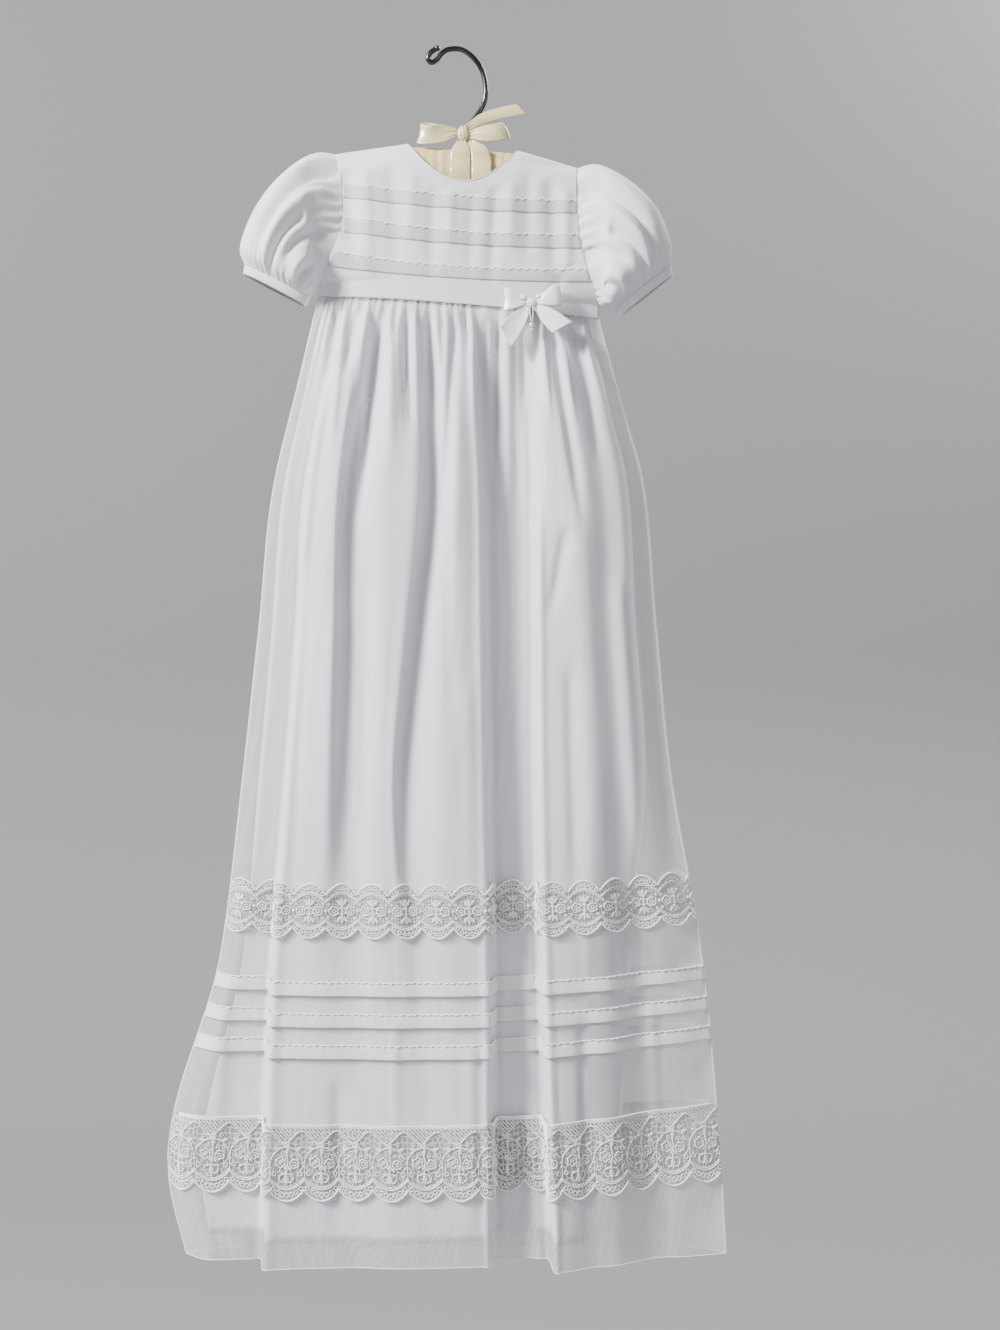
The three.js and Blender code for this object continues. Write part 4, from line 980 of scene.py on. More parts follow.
def row_z(row: Sequence[float], share: Array) -> Array:
    """The height of a row across the bodice, bent through its three given heights."""
    m = MIDDLE_SHARE
    return (row[0] * (share - m) * (share - 1) / m
            + row[1] * share * (share - 1) / (m * (m - 1))
            + row[2] * share * (share - m) / (1 - m))


def waist_point(x: Array, side: Side) -> tuple[Array, Array]:
    """The height and depth of the waist seam at a place across."""
    share = (x - LEFT_EDGE[-1, 0]) / (RIGHT_EDGE[-1, 0] - LEFT_EDGE[-1, 0])
    row = (FRONT_ROWS if side is Side.FRONT else BACK_ROWS)[-1]
    z = row_z(row, share)
    return z, bodice_depth(share, x, z, row[3])


@dataclass
class Bodice:
    """The front, its tucks, the two backs with their buttons, and the neck's edge."""

    finishes: Finishes
    columns: int = 132
    rows: int = 96
    tuck_lift: float = 0.62

    def place(self, share: Array, down: Array, rows: Array, neck_drop: float, side: Side,
              rise: Callable[[Array], Array] = np.zeros_like) -> Array:
        """Finds points of a bodice panel.

        Args:
            share: The share of the way across, from left to right.
            down: The share of the way from the top edge to the waist.
            rows: The panel's last row gives the waist.
            neck_drop: How far the neckline drops at its middle.
            side: Front or back.
            rise: What lifts the cloth at a place across, as where one half laps the other.
        Returns:
            The points, in millimetres.
        """
        top_x = SHOULDER_LEFT[0] + (SHOULDER_RIGHT[0] - SHOULDER_LEFT[0]) * share
        reach = np.abs(top_x - NECK_MIDDLE) / ((NECK_RIGHT[0] - NECK_LEFT[0]) / 2)
        top_z = shoulder_z(top_x) - neck_drop * np.maximum(0, 1 - reach ** NECK_ROUNDNESS)
        low_z = row_z(rows[-1], share)
        z = top_z + (low_z - top_z) * down
        spread_x = edge_x(LEFT_EDGE, z) + (edge_x(RIGHT_EDGE, z) - edge_x(LEFT_EDGE, z)) * share
        first_z = row_z(rows[0], share)
        near_top = np.clip((z - first_z) / np.maximum(top_z - first_z, 1e-6), 0, 1)
        x = spread_x + (top_x - spread_x) * near_top * (1 - np.abs(2 * share - 1) ** 6)
        crown = np.interp(-z, -rows[:, 1], rows[:, 3])
        depth = bodice_depth(share, x, z, crown) + rise(x)
        return np.stack([x, side.value * depth, z], axis=-1)

    def shares(self) -> Array:
        """The shares across, closer together round the neck."""
        even = np.linspace(0, 1, self.columns + 1)
        return even - 0.012 * np.sin(4 * np.pi * even)

    def front(self) -> Surface:
        """Builds the front panel and returns its surface."""
        share, down = np.meshgrid(self.shares(), np.linspace(0, 1, self.rows + 1))
        points = self.place(share, down, FRONT_ROWS, FRONT_NECK_DROP, Side.FRONT)
        points = creased(points, BODICE_CREASES, -1)
        points = uneven(points, 0.18, -1)
        surface = Surface(points, -1)
        piece = cut("bodice_front_cloth", points, self.finishes.cotton,
                    ["bodice_front"], BODICE_CLOTH, surface.normals)
        return surface

    def line_on(self, surface: Surface, heights: Sequence[float], share: Array,
                lift: Array | float) -> Array:
        """Points of the front along a line of given heights, moved off the cloth."""
        columns = np.interp(share, self.shares(), np.arange(self.columns + 1.0))
        z = row_z(heights, share)
        low = surface.at(np.full_like(columns, self.rows), columns, 0.0)[:, 2]
        top = surface.at(np.zeros_like(columns), columns, 0.0)[:, 2]
        rows = (top - z) / (top - low) * self.rows
        return surface.at(rows, columns, lift)

    def tucks(self, surface: Surface) -> None:
        """Builds the three tucks in a darker copy of the cotton, as painted shade: a stitched line
        at the top and a free fold at the foot.
        """
        share = np.linspace(0.006, 0.994, 150)
        pucker = 0.3 * np.sin(np.arange(150) * 2.4) * (0.6 + 0.4 * np.sin(np.arange(150) / 9))
        for number, (stitched, folded) in enumerate(BODICE_TUCKS, 1):
            rows = []
            for down in (0.0, 0.06, 0.3, 0.6, 0.88, 1.0):
                heights = [a + (b - a) * down for a, b in zip(stitched, folded)]
                lift = 0.1 + (self.tuck_lift - 0.1) * down ** 0.6
                lift = lift + pucker * (1 - down) * (down > 0)
                rows.append(self.line_on(surface, heights, share, lift))
            under = self.line_on(surface, folded, share, 0.42)
            rows.append(under)
            points = np.array(rows)
            band = cut(f"bodice_tuck_{number}", points, self.finishes.tucked,
                       thickness=BODICE_TUCK_CLOTH, normals=normals_of(points[:-1], -1))
            self.stitches(surface, stitched, number)

    def stitches(self, surface: Surface, heights: Sequence[float], number: int) -> None:
        """Sews the zigzag along the top of a tuck."""
        count = 62
        share = np.linspace(0.008, 0.992, count)
        step = np.arange(count)
        sway = np.where(step % 2 == 0, 1.5, -1.0) * (0.75 + 0.25 * np.sin(step * 1.7 + number))
        zigzag = self.line_on(surface, heights, share, 0.2)
        zigzag[:, 2] += sway
        share = np.linspace(0.008, 0.992, 200)
        row = self.line_on(surface, heights, share, 0.3)
        row[:, 2] += 0.12 * np.sin(np.arange(200) * 1.1)
        sew(f"bodice_stitches_{number}", [(zigzag, 0.82), (row, 0.3)], self.finishes.stitch)

    def neck_edge(self, surface: Surface) -> None:
        """Rolls the narrow edge round the neck."""
        columns = np.linspace(0, self.columns, 260)
        line = surface.at(np.full(260, 0.35), columns, 0.25)
        inside = (line[:, 0] > NECK_LEFT[0]) & (line[:, 0] < NECK_RIGHT[0])
        sew("neck_edge", [(line[inside], NECK_ROLL)], self.finishes.seam)
        share = np.interp(line[inside][:, 0], (SHOULDER_LEFT[0], SHOULDER_RIGHT[0]), (0, 1))
        back = self.place(share, np.full(len(share), 0.004), BACK_ROWS, BACK_NECK_DROP,
                          Side.BACK, self.lap)
        sew("neck_edge_back", [(back, NECK_ROLL)], self.finishes.seam)

    @staticmethod
    def lap(x: Array) -> Array:
        """How far the upper half of the back lies off the lower one."""
        laps = x > NECK_MIDDLE - BACK_LAP
        return LAP_RISE * ease((NECK_MIDDLE + 3 * BACK_LAP - x) / (2 * BACK_LAP)) * laps

    def backs(self) -> None:
        """Builds the two halves of the back."""
        width = SHOULDER_RIGHT[0] - SHOULDER_LEFT[0]
        centre, lap = (NECK_MIDDLE - SHOULDER_LEFT[0]) / width, BACK_LAP / width
        for name, start, end, upper in (
            ("left", 0.0, centre + lap, False), ("right", centre - lap, 1.0, True),
        ):
            share, down = np.meshgrid(np.linspace(start, end, 61), np.linspace(0, 1, 61))
            rise = self.lap if upper else np.zeros_like
            points = self.place(share, down, BACK_ROWS, BACK_NECK_DROP, Side.BACK, rise)
            points = uneven(creased(points, BACK_BODICE_CREASES, 1), 0.15, 1)
            piece = cut(f"bodice_back_{name}_cloth", points, self.finishes.cotton,
                        [f"bodice_back_{name}"], BODICE_CLOTH, normals_of(points, 1))

    def buttons(self) -> None:
        """Makes the pearl buttons of the back, each with a sunk middle."""
        for number in (1, 2, 3):
            low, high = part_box(f"back_button_{number}")
            centre = (low + high) / 2
            bm = bmesh.new()
            bmesh.ops.create_cone(bm, cap_ends=True, segments=40, radius1=BUTTON_RADIUS * MM,
                                  radius2=BUTTON_RADIUS * MM, depth=BUTTON_DEPTH * MM)
            top = [f for f in bm.faces if len(f.verts) > 4]
            for face in top:
                bmesh.ops.inset_region(bm, faces=[face], thickness=0.9 * MM)
                sunk = -0.35 * MM * math.copysign(1, face.normal.z)
                bmesh.ops.translate(bm, verts=face.verts, vec=Vector((0, 0, sunk)))
            rim = [e for e in bm.edges if e.is_manifold and e.calc_face_angle(0) > 0.6]
            bmesh.ops.bevel(bm, geom=rim, offset=0.28 * MM, affect="EDGES", segments=3,
                            profile=0.5, material=-1)
            turn = Vector((0, 0, 1)).rotation_difference(Vector((0, 1, 0))).to_matrix()
            bmesh.ops.rotate(bm, verts=bm.verts, cent=(0, 0, 0), matrix=turn)
            bmesh.ops.translate(bm, verts=bm.verts, vec=centre)
            bmesh.ops.recalc_face_normals(bm, faces=bm.faces)
            dress(object_of(f"pearl_button_{number}", bm), self.finishes.pearl,
                  [f"back_button_{number}"])

    def seams(self) -> None:
        """Rolls the shoulder and side seams, where the front meets the backs."""
        routes = {
            "shoulder_seam_left": (SHOULDER_LEFT, NECK_LEFT),
            "shoulder_seam_right": (NECK_RIGHT, SHOULDER_RIGHT),
            "bodice_side_left": LEFT_EDGE[-2:],
            "bodice_side_right": RIGHT_EDGE[-4:],
        }
        for name, stops in routes.items():
            line = smooth_line([(x, 0.0, z) for x, z in stops], 24)
            sew(name, [(line, SEAM_ROLL)], self.finishes.seam)

    def build(self) -> None:
        """Makes every piece of the bodice."""
        self.seams()
        surface = self.front()
        self.tucks(surface)
        self.neck_edge(surface)
        self.backs()
        self.buttons()


# Sleeves and cuffs


@dataclass
class Sleeve:
    """One puffed sleeve with its cuff."""

    finishes: Finishes
    side: str
    rings: Array
    cuff: Array
    edge: Array
    shoulder: tuple[float, float]
    underarm: float
    outward: float
    around: int = 176
    down: int = 56

    def ring(self, row: Array, turn: Array) -> Array:
        """Points of one ring, from its upper end round the front to its lower end and back."""
        share = (1 + np.cos(turn)) / 2
        out = np.abs(np.sin(turn)) ** SLEEVE_SQUARENESS
        front = np.sin(turn) >= 0
        depth = row[4] * np.where(front, 1.0, SLEEVE_BACK_SHARE)
        x = row[2] + (row[0] - row[2]) * share
        z = row[3] + (row[1] - row[3]) * share
        return np.stack([x, np.where(front, -1, 1) * depth * out, z], axis=-1)

    def armhole(self, turn: Array) -> Array:
        """The ring that follows the bodice's own edge."""
        z = self.underarm + (self.shoulder[1] - self.underarm) * (1 + np.cos(turn)) / 2
        level = armhole_depth(z, self.shoulder[1], self.underarm)
        level = level * np.clip(np.abs(np.sin(turn)) * 6, 0, 1)
        side = np.where(np.sin(turn) >= 0, -1, 1)
        x = edge_x(self.edge, z) - self.outward * 0.7
        return np.stack([x, side * np.maximum(level - 0.5, 0), z], axis=-1)

    def pushed(self, share: Array, turn: Array) -> Array:
        """How far creases and pleats push the cloth out at each row's share and each turn."""
        round_it = (turn / (2 * np.pi))[None, :]
        push = np.zeros((len(share), len(turn)))
        for head, cuff, start, end, width, height in SLEEVE_CREASES:
            off = (round_it - (head + (cuff - head) * share) + 0.5) % 1.0 - 0.5
            fade = ease((share - start) / 0.12 + 0.2) * ease((end - share) / 0.3 + 0.15)
            off = np.where(off * height > 0, off, off * SLEEVE_STEEPNESS)
            push += SLEEVE_CREASE * height * fade * np.exp(-(off / width) ** 2)
        near_head = ease(1 - share / 0.24) * ease(share / 0.05 + 0.25)
        near_cuff = ease((share - 0.72) / 0.22)
        for near, high, pleats, start, swing in (
            (near_head, 1.3, 36, 0.0, 5), (near_cuff, 1.2, 38, 0.6, 7),
        ):
            pleat = np.sin(turn * pleats + start) * (0.7 + 0.3 * np.sin(turn * swing))
            push += high * near * pleat[None, :]
        return push * (ease(np.abs(np.sin(turn)) * 1.9)[None, :] * 0.9 + 0.1)

    def build(self) -> None:
        """Makes the sleeve and its cuff."""
        turn = np.linspace(0, 2 * np.pi, self.around + 1)
        rows = np.array([self.armhole(turn), *[self.ring(r, turn) for r in self.rings]])
        last = len(self.rings)
        places = np.concatenate([np.linspace(0, 1, 16)[:-1], np.linspace(1, last, self.down - 14)])
        points = along(rows, np.arange(last + 1.0), places)
        push = self.pushed((places / last)[:, None], turn)
        points = points + away(points) * push[..., None]
        points[:, -1] = points[:, 0]
        piece = cut(f"puff_sleeve_{self.side}", points, self.finishes.cotton,
                    [f"sleeve_{self.side}"], SLEEVE_CLOTH, closed=True)
        self.seam(turn)
        self.make_cuff(turn)

    def seam(self, turn: Array) -> None:
        """Rolls the seam where the sleeve is sewn into the armhole."""
        line = self.armhole(turn)
        line[:, 0] += self.outward * 0.75
        line[:, 1] += np.sign(line[:, 1]) * 0.45
        line[-1] = line[0]
        roll = ARMHOLE_ROLL + 0.08 * np.sin(turn * 31)
        sew(f"armhole_seam_{self.side}", [(line, roll)], self.finishes.seam)

    def make_cuff(self, turn: Array) -> None:
        """Makes the bound cuff with a row of stitches by its upper edge."""
        first, last = (self.ring(r, turn) for r in self.cuff)
        top = self.ring(self.rings[-1], turn)
        rows = []
        for down, swell in ((-1, 0.3), (0, 0.45), (0.35, 0.6), (0.65, 0.5), (0.9, 0.3), (1, -0.2)):
            ring = top if down < 0 else first + (last - first) * down
            rows.append(ring + away(ring) * swell)
        points = np.array(rows)
        points[:, -1] = points[:, 0]
        piece = cut(f"cuff_band_{self.side}", points, self.finishes.cotton,
                    [f"cuff_{self.side}"], CUFF_CLOTH, closed=True)
        line = points[1] + (points[1] - points[1].mean(axis=0)) * 0.006
        lines = [(line[k:k + 3], 0.22) for k in range(0, self.around - 1, 3)]
        sew(f"cuff_stitches_{self.side}", lines, self.finishes.stitch)


# The skirt


def columns_of(folds: Sequence[tuple], seams: Optional[tuple] = None) -> tuple[Array, Array]:
    """Turns a table of fold lines into columns.

    Args:
        folds: Rows of cells, place across (or share from seam to seam) and depth.
        seams: The places of the right and left seams, where shares are given.
    Returns:
        The place across and the depth of every column at every level.
    """
    across, forward = [], []
    places = [np.array(place if seams is None else seams[0] + (seams[1] - seams[0]) * place)
              for _, place, _ in folds]
    for k, (cells, _, depth) in enumerate(folds[:-1]):
        here, there, next_depth = places[k], places[k + 1], folds[k + 1][2]
        for i in range(cells):
            t = i / cells
            swing = float(ease(np.array(t)))
            if k == 0:
                swing = math.sin(math.pi / 2 * t)
            elif k == len(folds) - 2:
                swing = 1 - math.cos(math.pi / 2 * t)
            across.append(here + (there - here) * t)
            depth_here = np.array(depth) + (np.array(next_depth) - np.array(depth)) * swing
            forward.append(np.maximum(SIDE_SEAM_Y, depth_here))
    across.append(places[-1])
    forward.append(np.maximum(SIDE_SEAM_Y, folds[-1][2]))
    return np.array(across, dtype=float), np.array(forward, dtype=float)


def skirt_grid(across: Array, forward: Array, side: Side) -> tuple[Array, Array]:
    """The skirt's rows of points, and the distance of each row below the waist seam."""
    count = len(across)
    share = np.arange(count) / (count - 1)
    right = share if side is Side.FRONT else 1 - share
    hang = LIFT_RIGHT * right ** 3 + LIFT_LEFT * (1 - right) ** 3
    seam_z, seam_depth = waist_point(across[:, 0], side)
    rows, downs = [], []
    inner = (np.arange(count) > 0) & (np.arange(count) < count - 1)
    step = np.where(np.arange(count) % 2 == 0, 1.0, -1.0)
    step = step * (0.75 + 0.25 * np.sin(2.3 * np.arange(count)))
    for below in WAIST_ROWS:
        z = seam_z - below
        share_down = below / (seam_z - LEVEL_HEIGHTS[0])
        x = across[:, 0] + (across[:, 1] - across[:, 0]) * share_down
        hung = forward[:, 0] + (forward[:, 1] - forward[:, 0]) * share_down
        y = seam_depth + (hung - seam_depth) * float(ease(np.array(below / SEAM_BLEND)))
        rising = min(1.0, 0.4 + 0.6 * below / GATHER_FULL)
        gather = GATHER_HEIGHT * rising * (1 - float(ease(np.array(below / GATHER_GONE))))
        y = y + inner * step * gather
        rows.append(np.stack([x, side.value * np.maximum(SIDE_SEAM_Y, y), z], axis=-1))
        downs.append(below)
    levels = [(1, 0.0, LEVEL_HEIGHTS[0])]
    levels.append((1, (LEVEL_HEIGHTS[0] - BETWEEN_ROW) / (LEVEL_HEIGHTS[0] - LEVEL_HEIGHTS[1]),
                   BETWEEN_ROW))
    levels += [(k, 0.0, LEVEL_HEIGHTS[k - 1]) for k in range(2, 6)]
    for (level, mix, height), lift in zip(levels, LEVEL_LIFTS):
        following = min(level + 1, 5)
        x = across[:, level] + (across[:, following] - across[:, level]) * mix
        y = forward[:, level] + (forward[:, following] - forward[:, level]) * mix
        z = height + lift * hang
        rows.append(np.stack([x, side.value * np.maximum(SIDE_SEAM_Y, y), z], axis=-1))
        downs.append(SEAM_MIDDLE_Z - height)
    return np.array(rows), np.array(downs)


@dataclass
class Skirt:
    """One side of the skirt: organza, lining, tucks and laces."""

    finishes: Finishes
    side: Side
    step: float
    surface: Surface = field(init=False)
    rows_at: Array = field(init=False)

    @property
    def name(self) -> str:
        """The side's name, as the solids have it."""
        return "front" if self.side is Side.FRONT else "back"

    def shaped(self, points: Array) -> Array:
        """The side's creases and slight waves, on rows of points."""
        sign = self.side.value
        table = (FRONT_CREASES if self.side is Side.FRONT else BACK_CREASES).copy()
        table[:, 5] *= SKIRT_CREASE
        return uneven(creased(points, table, sign, CREASE_STEEPNESS), SKIRT_UNEVEN, sign)

    def coarse(self) -> tuple[Array, Array]:
        """The panel at its fold lines."""
        if self.side is Side.FRONT:
            across, forward = columns_of(FRONT_FOLDS)
        else:
            seams = (np.array(FRONT_FOLDS[-1][1], float), np.array(FRONT_FOLDS[0][1], float))
            across, forward = columns_of(BACK_FOLDS, seams)
        return skirt_grid(across, forward, self.side)

    def panel(self) -> None:
        """Makes the organza with its gathers, folds and creases."""
        grid, downs = self.coarse()
        gathered = WAIST_ROWS[-1]
        near = np.concatenate([[0.0, 1.0, 2.2], np.arange(3.6, gathered, 2.9)])
        far = np.linspace(gathered, downs[-1], int((downs[-1] - gathered) / self.step) + 1)
        self.rows_at = np.concatenate([near, far])
        points = spread(along(grid, downs, self.rows_at), SKIRT_SPLIT)
        place = np.linspace(0, grid.shape[1] - 1, points.shape[1])[None, :]
        below = self.rows_at[:, None]
        fade = (1 - ease(below / 24.0)) * ease(below / 3.0 + 0.3)
        edge = ease(place / 1.5) * ease((grid.shape[1] - 1 - place) / 1.5)
        pucker = np.sin(place * np.pi * 1.9 + 0.8 * np.sin(place * 1.3))
        pucker = pucker * (0.6 + 0.4 * np.sin(place * 0.9))
        sign = self.side.value
        points[..., 1] += sign * 1.05 * fade * edge * pucker
        shaped = self.shaped(points)
        soft = (edge * (0.25 + 0.75 * ease(below / 14)))[..., None]
        points = points * (1 - soft) + shaped * soft
        points[..., 1] = sign * np.maximum(SIDE_SEAM_Y, sign * points[..., 1])
        self.surface = Surface(points, sign)
        piece = cut(f"organza_{self.name}", points, self.finishes.organza,
                    [f"skirt_{self.name}"], normals=self.surface.normals)
        sew(f"hem_roll_{self.name}", [(points[-1], HEM_ROLL)], self.finishes.seam)
        if self.side is Side.FRONT:
            for name, column in (("left", 0), ("right", -1)):
                line = points[::3, column] * (1, 0, 1)
                sew(f"skirt_side_{name}", [(line, SIDE_ROLL)], self.finishes.seam)

    def lining(self) -> None:
        """Makes the lining, narrower at its sides and shorter than the organza."""
        grid, downs = self.coarse()
        sign = self.side.value
        normals = normals_of(grid, sign)
        base = grid[:, 2:-2].copy()
        count = base.shape[1]
        share = np.arange(count) / (count - 1)
        right = share if self.side is Side.FRONT else 1 - share
        base[-1] = base[-2] + (base[-1] - base[-2]) * 0.6
        downs = downs.copy()
        downs[-1] = downs[-2] + (downs[-1] - downs[-2]) * 0.6
        base[..., 0] += LINING_LEFT[:, None] * np.clip(1 - right / 0.06, 0, 1)[None, :]
        base[..., 0] -= LINING_RIGHT[:, None] * np.clip((right - 0.8) / 0.2, 0, 1)[None, :]
        inner = base - LINING_INSET * normals[:, 2:-2]
        if self.side is Side.BACK:
            far = right > 0.8
            inner[5:, far, 1] = np.minimum(inner[5:, far, 1], 6.5)
        inner[:, 0, 1] = inner[:, -1, 1] = sign * SIDE_SEAM_Y
        inner[0, :, 2] -= 1.0
        places = np.linspace(0.3, downs[-1], 110)
        points = spread(along(inner, downs, places), 2)
        over = spread(along(base, downs, places), 2)
        points[..., 1] += (self.shaped(over) - over)[..., 1]
        points[..., 1] = sign * np.maximum(SIDE_SEAM_Y - 0.3, sign * points[..., 1])
        piece = cut(f"lining_cloth_{self.name}", points, self.finishes.lining,
                    [f"lining_{self.name}"], LINING_CLOTH, normals_of(points, sign))

    def row_of(self, below: Array) -> Array:
        """The fractional row of the fine grid at a distance below the waist seam."""
        return np.interp(below, self.rows_at, np.arange(len(self.rows_at), dtype=float))

    def on(self, length: Array, below: Array, lift: Array | float, level: float) -> Array:
        """Points on the organza at a length along it and a distance below the waist.

        Args:
            length: Millimetres along the cloth from the panel's first edge.
            below: Millimetres below the waist seam.
            lift: How far off the cloth the points stand.
            level: The distance below the waist at which the length is measured.
        Returns:
            The points.
        """
        lengths = self.surface.lengths(float(self.row_of(np.array(level))))
        columns = np.interp(length, lengths, np.arange(len(lengths), dtype=float))
        return self.surface.at(self.row_of(below), columns, lift)

    def whole(self, level: float) -> float:
        """The length of the cloth across the panel at a level."""
        return float(self.surface.lengths(float(self.row_of(np.array(level))))[-1])

    def tucks(self) -> None:
        """Makes the three tucks: stitched at the top, with a free fold at the foot."""
        for name, top, foot in SKIRT_TUCKS:
            width = self.whole(top)
            count = int(width / 2.2)
            length = np.linspace(0.4, width - 0.4, count)
            rows = []
            number = np.arange(count)
            pucker = 0.16 * np.sin(number * 2.1) * (0.6 + 0.4 * np.sin(number / 7))
            for down in (0.0, 0.08, 0.35, 0.7, 0.94, 1.0):
                lift = 0.1 + 1.15 * down ** 0.6 + pucker * (1 - down) * (down > 0)
                below = np.full(count, top + (foot - top) * down)
                rows.append(self.on(length, below, lift, top))
            rows.append(self.on(length, np.full(count, foot - 0.5), 0.6, top))
            points = np.array(rows)
            band = cut(f"tuck_{name}_{self.name}", points, self.finishes.doubled,
                       [f"skirt_tuck_{name}_{self.name}"], SKIRT_TUCK_CLOTH,
                       normals_of(points[:-1], self.side.value))
            stitches = int(width / 2.6)
            length = np.linspace(0.5, width - 0.5, stitches)
            step = np.arange(stitches)
            sway = np.where(step % 2 == 0, 0.7, -0.6) * (0.7 + 0.3 * np.sin(step * 1.7))
            zigzag = self.on(length, top + 0.2 + 1.25 * sway, 0.85, top)
            length = np.linspace(0.5, width - 0.5, int(width / 2.2))
            row = self.on(length, np.full(len(length), top + 0.2), 0.4, top)
            sew(f"tuck_stitches_{name}_{self.name}", [(zigzag, 0.46), (row, 0.4)],
                self.finishes.stitch)

    def build(self) -> None:
        """Makes every piece of this side of the skirt."""
        self.panel()
        self.lining()
        self.tucks()
        Galloon(self.finishes.net, self.finishes.lace, self).build()
        Edging(self.finishes.wide_net, self.finishes.lace, self).build()


# Laces

Stroke = tuple[Array, Array, float]


def wave_of(length: Array, repeat: float) -> Array:
    """The scallop's wave: 0 at each valley and 1 at each peak."""
    return np.abs(np.sin(np.pi * length / repeat)) ** SCALLOP_POWER


def ring(centre: tuple[float, float], radius: float, thread: float, sides: int = 9,
         squash: float = 1.0) -> Stroke:
    """A closed round of thread."""
    turn = np.linspace(0, 2 * np.pi, sides + 1)
    return (centre[0] + radius * np.cos(turn), centre[1] + squash * radius * np.sin(turn), thread)


def blossom(centre: tuple[float, float], radius: float, petals: int, thread: float) -> Stroke:
    """A closed round of thread that swells into petals."""
    turn = np.linspace(0, 2 * np.pi, petals * 4 + 1)
    reach = radius * (0.82 + 0.18 * np.abs(np.sin(turn * petals / 2)) ** 0.7 * 1.6)
    return (centre[0] + reach * np.cos(turn), centre[1] + reach * np.sin(turn), thread)


def stem(points: Sequence[tuple[float, float]], thread: float, steps: int = 7) -> Stroke:
    """A smooth thread through a few points of the chart."""
    line = smooth_line(points, steps)
    return (line[:, 0], line[:, 1], thread)


def leaf(root: tuple[float, float], tip: tuple[float, float], width: float) -> list[Stroke]:
    """A pointed leaf: its outline and its midrib."""
    root_v, tip_v = np.array(root), np.array(tip)
    line = tip_v - root_v
    side = np.array([-line[1], line[0]]) / max(float(np.linalg.norm(line)), 1e-6)
    t = np.linspace(0, 1, 6)
    swell = width * np.sin(np.pi * t ** 0.8)
    strokes = []
    for hand in (1, -1):
        points = root_v + t[:, None] * line + hand * swell[:, None] * side
        strokes.append((points[:, 0], points[:, 1], 0.3))
    strokes.append((np.array([root[0], tip[0]]), np.array([root[1], tip[1]]), 0.42))
    return strokes


@dataclass
class Lace:
    """A lace laid along the skirt: its net, and the threads of one repeated chart on it."""

    ground: bpy.types.Material
    thread: bpy.types.Material
    skirt: Skirt
    lift: float = 1.0
    name: ClassVar[str]
    repeat: ClassVar[float]
    origin: ClassVar[float]
    level: ClassVar[float]
    first: ClassVar[float]
    inset: ClassVar[float]
    width: ClassVar[float]
    cover: ClassVar[float]

    def reach(self, length: Array) -> Array:
        """How far the lace reaches below its zero line at a length along it."""
        raise NotImplementedError

    def rib(self, length: Array) -> Array:
        """How far from its zero line the rib beside the scalloped edge lies."""
        raise NotImplementedError

    def chart(self) -> list[Stroke]:
        """The strokes of one repeat, in millimetres along and down."""
        raise NotImplementedError

    def eyelets(self, count: int, start: float, radius: float, thread: float,
                hand: float = 1.0) -> list[Stroke]:
        """The row of small rings between the scalloped edge and its rib."""
        strokes = []
        for k in range(count):
            place = self.repeat * (start + (1 - 2 * start) * (k + 0.5) / count)
            here = np.array(place)
            middle = float(self.reach(here) - 0.5 + self.rib(here)) / 2
            strokes.append(ring((place, hand * middle), radius, thread, 8))
        return strokes

    def threads(self) -> list[tuple[Array, float]]:
        """The chart's strokes, repeated along the whole skirt: points and radius of each."""
        whole = self.skirt.whole(self.level)
        chart = self.chart()
        lines = []
        for number in range(int(whole / self.repeat) + 1):
            for s, t, radius in chart:
                length = s + number * self.repeat
                keep = (length > 0.3) & (length < whole - 0.3)
                if keep.sum() > 1:
                    points = self.skirt.on(length[keep], self.origin + t[keep],
                                           self.lift + radius * 0.8, self.level)
                    lines.append((points, radius * THREAD_SWELL))
        return lines

    def build(self) -> None:
        """Makes the net and the threads."""
        side = self.skirt.name
        whole = self.skirt.whole(self.level)
        per_mm = 1.7 if self.skirt.side is Side.FRONT else 1.1
        length = np.linspace(SCALLOP_MARGIN, whole - SCALLOP_MARGIN, int(whole * per_mm))
        reach = self.reach(length) - self.inset
        points = np.array([
            self.skirt.on(length, self.origin + reach * t, self.lift - 0.1, self.level)
            for t in np.linspace(self.first, 1, NET_ROWS)])
        net = cut(f"{self.name}_net_{side}", points, self.ground,
                  [f"{self.name}_{side}"], normals=normals_of(points, self.skirt.side.value))
        sew(f"{self.name}_threads_{side}", self.threads(), self.thread)


